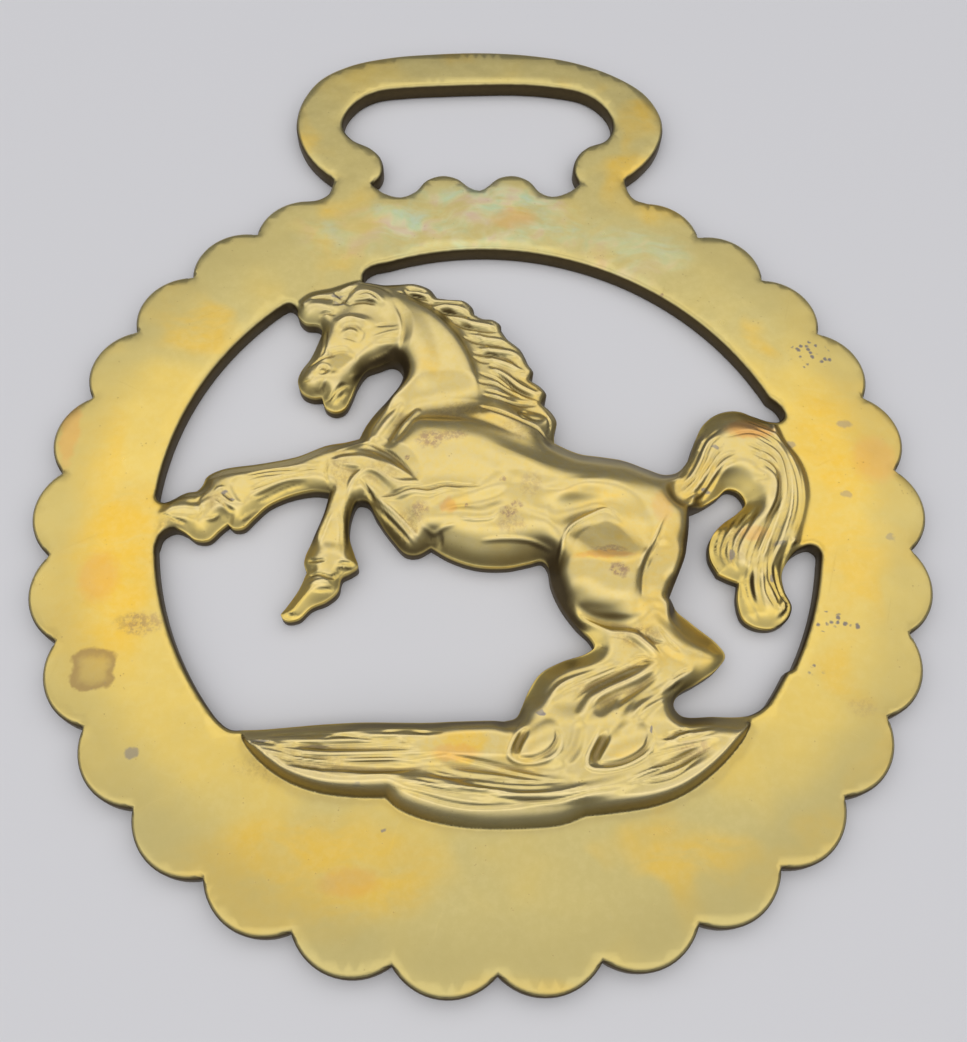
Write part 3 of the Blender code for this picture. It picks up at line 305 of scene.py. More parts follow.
# How the face rises from the horse's outline: x, y, height at the edge, rise and power.
EDGES = [
    (-13.2, 17.5, 1.6, 1.1, 0.7), (-14.8, 13.0, 1.4, 1.0, 0.75), (-9.6, 13.9, 1.3, 1.4, 0.65),
    (-11.5, 10.5, 1.25, 0.9, 0.8), (-14.5, 10.0, 1.25, 0.9, 0.8), (-16.5, 19.5, 1.5, 0.9, 0.7),
    (-5.8, 14.2, 1.8, 1.9, 0.55), (-6.8, 11.2, 1.8, 1.9, 0.55), (-9.2, 8.5, 1.6, 1.1, 0.75),
    (-5.0, 22.5, 1.8, 1.1, 0.6), (-1.0, 20.3, 1.85, 1.1, 0.55), (2.0, 17.5, 1.85, 1.1, 0.55),
    (3.9, 14.0, 1.85, 1.1, 0.55), (5.0, 11.0, 1.8, 1.1, 0.55), (6.2, 8.0, 1.8, 1.0, 0.6),
    (-13.5, 6.4, 1.5, 1.0, 0.9), (-18.0, 5.2, 1.45, 0.9, 0.95), (-23.0, 3.0, 1.45, 0.9, 0.95),
    (-18.0, 0.0, 1.3, 0.9, 0.8), (-23.0, -1.6, 1.25, 0.9, 0.8), (-27.0, 0.2, 1.7, 0.8, 0.8),
    (-10.8, 0.0, 1.7, 1.1, 0.65), (-13.8, -1.0, 1.8, 1.4, 0.55), (-11.2, -4.5, 1.6, 0.9, 0.7),
    (-14.8, -4.4, 1.4, 0.9, 0.75), (-16.6, -8.4, 1.3, 0.8, 0.8), (-7.5, -2.8, 1.35, 1.3, 0.7),
    (-1.0, -5.0, 1.3, 1.15, 0.8), (3.4, -5.5, 1.3, 1.15, 0.8), (6.8, 5.6, 1.5, 1.2, 0.85),
    (9.5, 4.6, 1.4, 1.3, 0.82), (13.5, 3.6, 1.4, 1.4, 0.78), (16.8, -1.5, 2.4, 1.5, 0.55),
    (15.9, -5.6, 2.4, 1.5, 0.55), (14.2, -8.4, 2.0, 1.3, 0.6), (5.2, -6.6, 1.4, 2.0, 0.6),
    (6.6, -10.0, 1.35, 1.4, 0.6), (15.6, -9.4, 1.2, 0.72, 1.0), (17.0, -11.0, 1.15, 0.72, 1.0),
    (18.2, -12.4, 1.2, 0.72, 1.0), (18.0, -14.0, 1.5, 0.9, 0.75), (14.5, -16.8, 1.5, 1.3, 0.65),
    (1.4, -17.4, 1.7, 1.3, 0.7), (3.0, -15.0, 1.45, 0.8, 0.95), (8.4, -12.0, 1.7, 0.6, 1.0),
    (18.0, 5.4, 1.8, 1.3, 0.65), (19.4, 8.2, 1.5, 0.8, 0.9), (19.6, 0.8, 1.2, 0.85, 0.8),
    (23.0, 8.9, 1.5, 0.75, 1.0), (27.4, 4.0, 1.5, 0.75, 0.95), (26.6, -2.0, 1.6, 0.9, 0.8),
    (22.4, 1.2, 1.2, 0.85, 0.8), (19.0, -4.5, 1.2, 0.85, 0.8), (25.2, -7.5, 1.25, 0.8, 0.8),
    (21.5, -10.0, 1.2, 0.8, 0.8), (-15.0, -18.0, 1.5, 1.2, 0.85), (-7.0, -18.1, 1.8, 1.4, 0.8),
    (-1.0, -18.1, 2.1, 1.4, 0.75), (14.0, -18.1, 1.7, 1.3, 0.8),
]
# The height at the edge holds over about this distance, before the rise begins.
FLANGE = 0.14
# The part of the face where the horse stands out: beyond this outline the plate's own face begins.
FIELD = [
    (-17.6, 20.9), (-16.9, 21.3), (-16.2, 22.0), (-15.6, 22.4), (-14.8, 22.65), (-13.8, 22.85),
    (-13.0, 23.15), (-12.1, 23.5), (-11.2, 23.8), (-10.3, 24.3), (-6.0, 25.6), (6.0, 25.0), (16.0, 19.5),
    (23.0, 12.0), (24.4, 9.6), (26.0, 8.1), (26.6, 6.3), (27.5, 4.7), (28.0, 3.0), (28.0, 0.9),
    (27.4, -1.1), (26.7, -2.8), (25.6, -6.5), (22.6, -14.5), (20.7, -17.6), (20.5, -23.0), (14.0, -30.0),
    (-14.0, -30.0), (-20.0, -23.0), (-20.4, -17.6), (-22.0, -14.5), (-25.2, -8.0), (-26.2, -2.8),
    (-26.7, -1.5), (-27.4, -0.8), (-27.6, 0.1), (-27.2, 0.9), (-26.6, 2.2), (-24.5, 10.0), (-17.6, 20.9),
]
# The horse comes up over this distance inside the field's outline.
FIELD_BANK = 1.3
# Rounded locks of the mane, tufts and hooves: rows of x, y, half-width and height.
LOCKS = [
    [(-8.2, 21.9, 0.5, 2.65), (-6.8, 21.8, 0.6, 2.7), (-5.4, 21.6, 0.65, 2.7), (-4.2, 21.5, 0.45, 2.4)],
    [(-7.0, 21.0, 0.35, 2.85), (-6.0, 21.0, 0.4, 2.75), (-5.0, 20.8, 0.4, 2.6), (-4.3, 20.5, 0.3, 2.35)],
    [(-4.9, 20.0, 0.45, 2.8), (-3.2, 20.15, 0.6, 2.75), (-1.8, 20.0, 0.65, 2.65), (-0.8, 19.5, 0.5, 2.3)],
    [(-3.6, 19.3, 0.4, 2.75), (-2.4, 18.95, 0.55, 2.7), (-0.8, 18.4, 0.6, 2.65), (0.8, 18.1, 0.55, 2.55),
     (1.7, 17.85, 0.4, 2.25)],
    [(-2.6, 17.6, 0.4, 2.75), (-1.2, 17.2, 0.45, 2.65), (0.4, 16.7, 0.5, 2.6), (1.8, 16.5, 0.45, 2.5),
     (2.7, 16.1, 0.35, 2.25)],
    [(-1.9, 16.3, 0.4, 2.8), (-0.4, 15.6, 0.55, 2.75), (1.4, 15.35, 0.6, 2.7), (2.8, 15.1, 0.55, 2.6),
     (3.5, 14.6, 0.45, 2.35)],
    [(-1.6, 15.2, 0.4, 2.75), (-0.3, 14.65, 0.45, 2.7), (1.2, 14.35, 0.55, 2.65), (2.6, 13.8, 0.55, 2.6),
     (3.8, 12.9, 0.55, 2.4), (4.3, 12.1, 0.4, 2.2)],
    [(-1.4, 14.0, 0.4, 2.75), (0.2, 13.5, 0.55, 2.75), (1.6, 13.0, 0.65, 2.75), (3.0, 11.9, 0.7, 2.7),
     (4.3, 11.1, 0.6, 2.6), (5.4, 10.7, 0.45, 2.3)],
    [(-1.0, 12.6, 0.35, 2.7), (0.2, 12.35, 0.35, 2.6), (1.5, 11.8, 0.4, 2.55), (2.8, 10.9, 0.4, 2.45),
     (4.2, 10.4, 0.35, 2.3)],
    [(-0.9, 11.4, 0.4, 2.75), (0.4, 10.9, 0.5, 2.7), (1.8, 10.4, 0.5, 2.6), (3.2, 10.2, 0.4, 2.45),
     (4.6, 10.1, 0.3, 2.3)],
    [(0.8, 8.9, 0.5, 2.75), (2.4, 8.5, 0.9, 2.75), (3.9, 8.3, 1.1, 2.75), (5.1, 8.0, 1.0, 2.6),
     (5.7, 7.2, 0.7, 2.4), (5.8, 6.3, 0.35, 2.1)],
    # Hind hooves.
    [(8.6, -21.2, 1.3, 3.15), (9.2, -20.7, 1.9, 3.35), (10.0, -20.1, 2.2, 3.5), (10.9, -19.5, 1.7, 3.35)],
    [(2.2, -20.8, 1.0, 3.15), (2.8, -20.2, 1.6, 3.3), (3.6, -19.6, 1.7, 3.4), (4.2, -18.9, 1.3, 3.25)],
]
# Round between a lock and what it lies on.
LOCK_BLEND = 0.12
# Soft ridges (height above 0) and hollows (below 0): rows of x, y, half-width and height.
FOLDS = [
    # Neck: the long hollow behind the throat and the hollow over the shoulder.
    [(0.6, 9.8, 1.8, -0.1), (-1.8, 10.6, 2.4, -0.4), (-4.4, 10.4, 2.4, -0.45), (-6.4, 9.2, 1.8, -0.25),
     (-8.0, 7.6, 1.2, -0.05)],
    [(-6.9, 18.8, 1.4, 0.05), (-5.6, 15.6, 1.8, 0.3), (-5.3, 12.6, 1.8, 0.35), (-5.6, 10.8, 1.4, 0.05)],
    # Back: the slope between its crest and its outline.
    [(-4.4, 7.6, 1.2, -0.02), (-2.4, 7.4, 1.5, -0.1), (0.2, 6.8, 1.6, -0.2), (2.4, 5.8, 1.6, -0.35),
     (4.4, 4.8, 1.5, -0.35), (6.4, 3.9, 1.3, -0.3), (9.0, 3.4, 1.0, -0.15), (11.0, 3.0, 0.8, -0.02)],
    [(-0.6, 4.4, 1.2, 0.03), (2.0, 3.4, 1.4, 0.12), (5.0, 2.3, 1.3, 0.12), (8.0, 1.7, 1.1, 0.1),
     (11.0, 1.2, 1.1, 0.1), (13.4, 0.0, 1.0, 0.03)],
    # Shoulder.
    [(-7.2, 4.2, 1.6, 0.02), (-5.6, 5.6, 2.2, 0.12), (-3.2, 6.0, 2.4, 0.18), (-0.6, 5.6, 2.2, 0.12),
     (1.6, 4.8, 2.0, 0.02)],
    # Chest ridges.
    [(-9.3, 6.5, 0.45, 0.1), (-8.2, 8.3, 0.5, 0.25), (-7.2, 9.6, 0.4, 0.12)],
    [(-7.9, 6.0, 0.45, 0.15), (-6.8, 7.8, 0.5, 0.3), (-5.7, 9.0, 0.4, 0.12)],
    # Flank: the two slanting folds behind the elbow, the hollow under them, the one before the stifle.
    [(-4.7, -0.4, 0.7, 0.05), (-3.2, 0.3, 0.9, 0.18), (-0.9, 0.5, 0.9, 0.16), (0.9, 1.5, 1.0, 0.12),
     (2.2, 3.0, 0.9, 0.03)],
    [(-4.0, -1.6, 0.8, 0.05), (-2.4, -1.2, 0.9, 0.16), (-0.6, -1.4, 0.9, 0.16), (0.8, -0.9, 0.9, 0.12),
     (1.8, 0.2, 0.7, 0.05)],
    [(-1.6, 0.0, 0.7, -0.05), (0.4, 0.2, 0.9, -0.12), (2.6, 0.2, 1.2, -0.14), (5.6, -0.9, 1.6, -0.28),
     (7.8, -0.8, 1.3, -0.3), (9.2, -0.5, 1.0, -0.1)],
    [(4.2, -0.1, 0.9, 0.03), (6.2, 0.7, 1.0, 0.12), (8.6, 0.9, 1.1, 0.14), (10.8, 0.0, 1.1, 0.1),
     (12.6, -1.4, 1.0, 0.03)],
    [(5.4, -4.4, 1.0, -0.05), (5.9, -2.6, 1.6, -0.35), (7.4, -0.9, 2.0, -0.6), (9.4, -0.2, 2.0, -0.65),
     (11.4, -1.2, 1.7, -0.5), (12.6, -3.2, 1.2, -0.1)],
    # Belly crest.
    [(-4.2, -2.2, 0.6, 0.03), (-2.4, -2.6, 0.9, 0.12), (0.6, -3.0, 1.0, 0.16), (3.4, -3.1, 0.9, 0.16),
     (5.2, -3.6, 0.7, 0.1)],
    # Under the thigh: the foot of its lower edge.
    [(7.0, -9.9, 0.9, -0.1), (8.6, -10.5, 1.1, -0.2), (10.4, -10.9, 1.1, -0.2), (11.8, -10.9, 0.8, -0.05)],
    # Head: the hollow between the eye and the muzzle, the ridge of the muzzle, the brow and the cheek.
    [(-14.3, 12.5, 0.9, 0.08), (-12.9, 12.7, 1.0, 0.26), (-11.6, 12.6, 0.9, 0.2), (-11.0, 12.9, 0.6, 0.05)],
    [(-13.2, 18.1, 0.7, 0.05), (-12.2, 18.5, 0.8, 0.2), (-11.0, 18.5, 0.8, 0.2), (-10.0, 18.1, 0.7, 0.05)],
    [(-9.6, 18.6, 1.6, 0.1), (-9.2, 17.2, 2.0, 0.25), (-9.5, 15.9, 1.6, 0.12)],
    [(-14.2, 17.6, 0.5, 0.03), (-14.3, 15.9, 0.6, 0.12), (-14.7, 14.6, 0.6, 0.08)],
    # Forelock and ear.
    [(-16.4, 19.9, 0.7, 0.1), (-14.9, 20.2, 0.9, 0.3), (-13.4, 20.1, 0.8, 0.15)],
    [(-11.8, 20.8, 0.6, 0.1), (-10.8, 21.5, 0.8, 0.35), (-9.6, 21.0, 0.7, 0.3), (-8.9, 20.1, 0.5, 0.1)],
    [(-12.6, 21.9, 0.35, 0.15), (-11.8, 22.2, 0.4, 0.2)],
    [(-11.4, 0.9, 0.4, 0.1), (-11.3, 2.3, 0.45, 0.22), (-10.7, 3.1, 0.45, 0.22), (-9.9, 3.4, 0.4, 0.05)],
    # Raised leg: the fetlock, the hollow of the pastern and the hoof's upper ridge.
    [(-21.6, 2.6, 0.9, 0.02), (-22.2, 1.6, 1.1, 0.12), (-22.3, 0.4, 1.0, 0.08)],
    [(-23.4, 2.2, 0.5, -0.02), (-24.2, 1.3, 0.7, -0.12), (-24.4, -0.6, 0.7, -0.1)],
    [(-27.2, 0.15, 0.5, 0.05), (-25.4, 0.35, 0.6, 0.2), (-23.8, 0.3, 0.6, 0.2), (-23.0, 0.9, 0.5, 0.08)],
    # Bent leg: the knee, fetlock and pastern.
    [(-12.1, 0.6, 0.7, 0.05), (-12.6, -0.6, 0.9, 0.12), (-12.9, -1.8, 0.8, 0.02)],
    [(-14.4, -4.0, 0.8, 0.05), (-13.2, -3.9, 1.1, 0.18), (-11.8, -4.2, 0.9, 0.1)],
    [(-14.9, -6.6, 0.5, 0.05), (-13.6, -6.5, 0.6, 0.15), (-12.6, -6.5, 0.5, 0.1)],
    # Hind legs: gaskins, the web between the cannons, and the fetlocks.
    [(12.4, -9.4, 0.9, 0.1), (13.2, -11.0, 1.1, 0.25), (14.8, -12.6, 1.2, 0.25), (16.6, -13.6, 1.0, 0.1)],
    [(7.3, -10.0, 0.5, 0.1), (9.0, -10.95, 0.6, 0.25), (10.9, -11.35, 0.6, 0.3), (12.2, -12.4, 0.6, 0.3),
     (13.1, -13.4, 0.5, 0.1)],
    [(13.0, -13.8, 0.5, 0.1), (11.3, -14.9, 0.65, 0.3), (9.2, -15.8, 0.7, 0.35), (7.5, -16.7, 0.7, 0.35),
     (6.6, -17.9, 0.6, 0.15)],
    [(12.4, -15.0, 0.6, -0.08), (10.6, -16.0, 0.8, -0.2), (9.0, -16.7, 0.9, -0.28),
     (8.1, -17.6, 0.7, -0.15)],
    [(9.2, -14.2, 0.7, 0.1), (6.8, -14.9, 0.8, 0.2), (4.6, -15.8, 0.9, 0.25), (3.3, -17.2, 0.9, 0.2)],
    [(15.2, -14.8, 0.6, 0.1), (12.6, -16.6, 0.8, 0.25), (10.6, -18.0, 0.9, 0.3), (9.8, -19.0, 0.8, 0.1)],
    [(13.6, -8.6, 1.0, -0.05), (15.2, -10.2, 1.3, -0.12), (16.9, -11.8, 1.3, -0.12),
     (18.0, -13.0, 1.0, -0.05)],
    # Tail: the hollow inside the curl, its ridge and the valley of the lower lobe.
    [(21.2, 2.0, 0.5, -0.1), (22.2, 2.3, 0.7, -0.35), (23.3, 2.2, 0.6, -0.25), (23.9, 2.0, 0.4, -0.05)],
    [(23.2, 3.0, 0.5, 0.06), (24.3, 2.6, 0.7, 0.12), (24.2, 1.5, 0.7, 0.1), (23.0, 0.2, 0.7, 0.12),
     (21.4, -0.9, 0.5, 0.2), (20.0, -2.1, 0.5, 0.2), (19.2, -3.6, 0.5, 0.2), (19.2, -5.0, 0.4, 0.1)],
    [(22.2, -1.2, 0.6, -0.05), (20.9, -2.3, 0.9, -0.18), (20.1, -3.8, 0.8, -0.2), (20.1, -5.2, 0.6, -0.08)],
    [(26.8, 5.0, 1.4, -0.05), (27.6, 3.2, 2.4, -0.2), (27.8, 1.0, 2.8, -0.3), (27.2, -1.2, 2.4, -0.3),
     (26.2, -3.2, 1.6, -0.1)],
    [(21.0, -6.6, 0.6, -0.1), (21.9, -6.0, 0.7, -0.15), (23.0, -4.9, 0.6, -0.05)],
    [(23.9, -3.6, 0.6, -0.05), (23.4, -5.6, 0.6, -0.15), (23.3, -7.2, 0.5, -0.15),
     (23.7, -8.8, 0.4, -0.05)],
    # Ground: long swells, and the dip between the hooves.
    [(-18.0, -19.5, 0.6, -0.1), (-14.5, -19.8, 0.8, -0.28), (-11.0, -19.9, 0.8, -0.28),
     (-7.0, -20.2, 0.8, -0.1)],
    [(-15.8, -20.8, 0.6, -0.1), (-11.0, -21.3, 0.8, -0.32), (-6.5, -21.5, 0.9, -0.32),
     (-1.5, -21.7, 1.1, -0.4), (2.5, -21.9, 1.0, -0.35), (5.6, -22.3, 0.8, -0.1)],
    [(-8.0, -22.6, 0.7, 0.05), (-4.0, -23.1, 0.9, 0.25), (0.0, -23.7, 0.9, 0.3), (4.0, -23.9, 0.9, 0.3),
     (8.0, -23.4, 0.9, 0.22), (12.0, -22.2, 0.8, 0.05)],
    [(12.3, -20.3, 0.6, 0.1), (14.6, -19.9, 0.7, 0.15), (17.4, -19.5, 0.6, 0.05)],
    [(12.2, -21.7, 0.8, -0.15), (14.6, -21.3, 0.9, -0.35), (16.6, -20.4, 0.7, -0.1)],
    [(4.8, -21.8, 0.6, -0.1), (5.9, -20.4, 0.8, -0.3), (6.4, -18.9, 0.7, -0.2)],
]
# Flat facets: half the width of their soft border, the outline, a point of the plane, and the plane's rise
# per mm to the east and to the north.
FACETS = [
    # Thigh: the plane that rises from the stifle's arc to the crest.
    (
        0.8,
        [
            (6.0, -5.6), (6.1, -3.6), (6.6, -2.65), (7.4, -2.0), (8.6, -1.5), (9.8, -1.1), (10.9, -1.6),
            (11.8, -2.6), (12.5, -3.8), (12.8, -4.9), (12.4, -5.6), (10.4, -5.8), (8.0, -5.7),
        ],
        (9.5, -3.4, 3.66), -0.03, -0.25,
    ),
    # Elbow: the light plane over the forearm.
    (
        0.25,
        [
            (-13.0, 4.5), (-12.2, 4.8), (-10.6, 4.75), (-9.5, 4.4), (-8.2, 3.5), (-7.0, 2.8), (-6.0, 2.1),
            (-7.4, 2.1), (-9.0, 3.0), (-10.4, 3.5), (-12.4, 4.0),
        ],
        (-9.6, 3.8, 3.15), 0.17, 0.1,
    ),
    # Muzzle: the side that falls away below the eye.
    (
        0.3,
        [
            (-13.6, 15.4), (-12.2, 15.6), (-11.3, 14.9), (-10.7, 14.2), (-11.6, 13.4), (-12.6, 13.2),
            (-13.4, 13.7),
        ],
        (-12.2, 14.4, 2.5), 0.05, -0.13,
    ),
    # Raised leg: the flat side with its tendons.
    (
        0.2,
        [
            (-14.0, 4.3), (-17.0, 3.9), (-20.6, 3.2), (-21.3, 2.4), (-20.2, 0.6), (-18.4, 1.6),
            (-16.4, 2.3), (-14.0, 2.6),
        ],
        (-17.5, 2.8, 2.38), 0.02, 0.04,
    ),
    # Bent leg: the hoof's upper side.
    (
        0.15,
        [
            (-14.6, -6.9), (-13.4, -6.9), (-12.8, -7.2), (-14.0, -7.7), (-15.3, -8.7), (-16.3, -8.8),
            (-15.7, -7.9),
        ],
        (-14.8, -7.7, 2.25), 0.04, 0.06,
    ),
]
# Steps, down on the right of the line: half the step's own width, then rows of x, y, reach and height.
LEDGES = [
    # Neck's crest over the mane.
    (0.6, [(-0.3, 9.4, 1.2, 0.1), (-0.3, 11.4, 1.6, 0.6), (-0.6, 13.2, 1.8, 0.85), (-1.2, 15.2, 1.8, 0.9),
           (-2.4, 17.3, 1.7, 0.85), (-4.2, 19.2, 1.5, 0.75), (-6.5, 20.6, 1.2, 0.5),
           (-8.6, 21.6, 0.8, 0.05)]),
    # Elbow over the chest, and the edge of the bent leg's sole.
    (0.4, [(-5.6, 1.8, 0.8, 0.05), (-6.8, 3.0, 1.4, 0.55), (-8.1, 4.2, 1.6, 0.75), (-9.5, 5.1, 1.5, 0.65),
           (-11.3, 5.5, 1.0, 0.05)]),
    (0.15, [(-16.3, -9.3, 0.6, 0.05), (-15.3, -8.75, 0.9, 0.35), (-14.2, -8.1, 1.0, 0.4),
            (-13.2, -7.8, 1.0, 0.4), (-12.3, -7.1, 0.7, 0.1)]),
    # Shoulder under the neck.
    (0.45, [(4.9, 5.1, 1.4, 0.05), (2.5, 6.2, 2.2, 0.25), (0.2, 7.2, 2.4, 0.35), (-2.5, 7.9, 2.4, 0.4),
            (-5.3, 8.1, 2.0, 0.35), (-6.8, 7.9, 1.2, 0.05)]),
    # Cheek over the neck.
    (0.12, [(-8.2, 14.6, 0.5, 0.05), (-7.5, 15.3, 0.9, 0.3), (-7.05, 16.8, 1.0, 0.35),
            (-7.2, 18.3, 1.0, 0.3), (-7.8, 19.9, 0.7, 0.05)]),
    # Thigh: the arc of the stifle, and the lower edge.
    (0.15, [(5.9, -7.0, 0.5, 0.02), (5.6, -5.6, 0.7, 0.1), (5.95, -4.3, 0.9, 0.2), (6.3, -3.1, 1.0, 0.2),
            (7.2, -2.2, 0.9, 0.15), (8.6, -1.4, 0.7, 0.08), (9.9, -0.9, 0.5, 0.02)]),
    (0.3, [(6.1, -7.2, 0.8, 0.02), (6.9, -8.6, 1.0, 0.15), (8.2, -9.6, 1.3, 0.3), (10.0, -10.0, 1.4, 0.35),
           (11.7, -10.0, 1.2, 0.25), (12.9, -9.5, 0.7, 0.03)]),
]
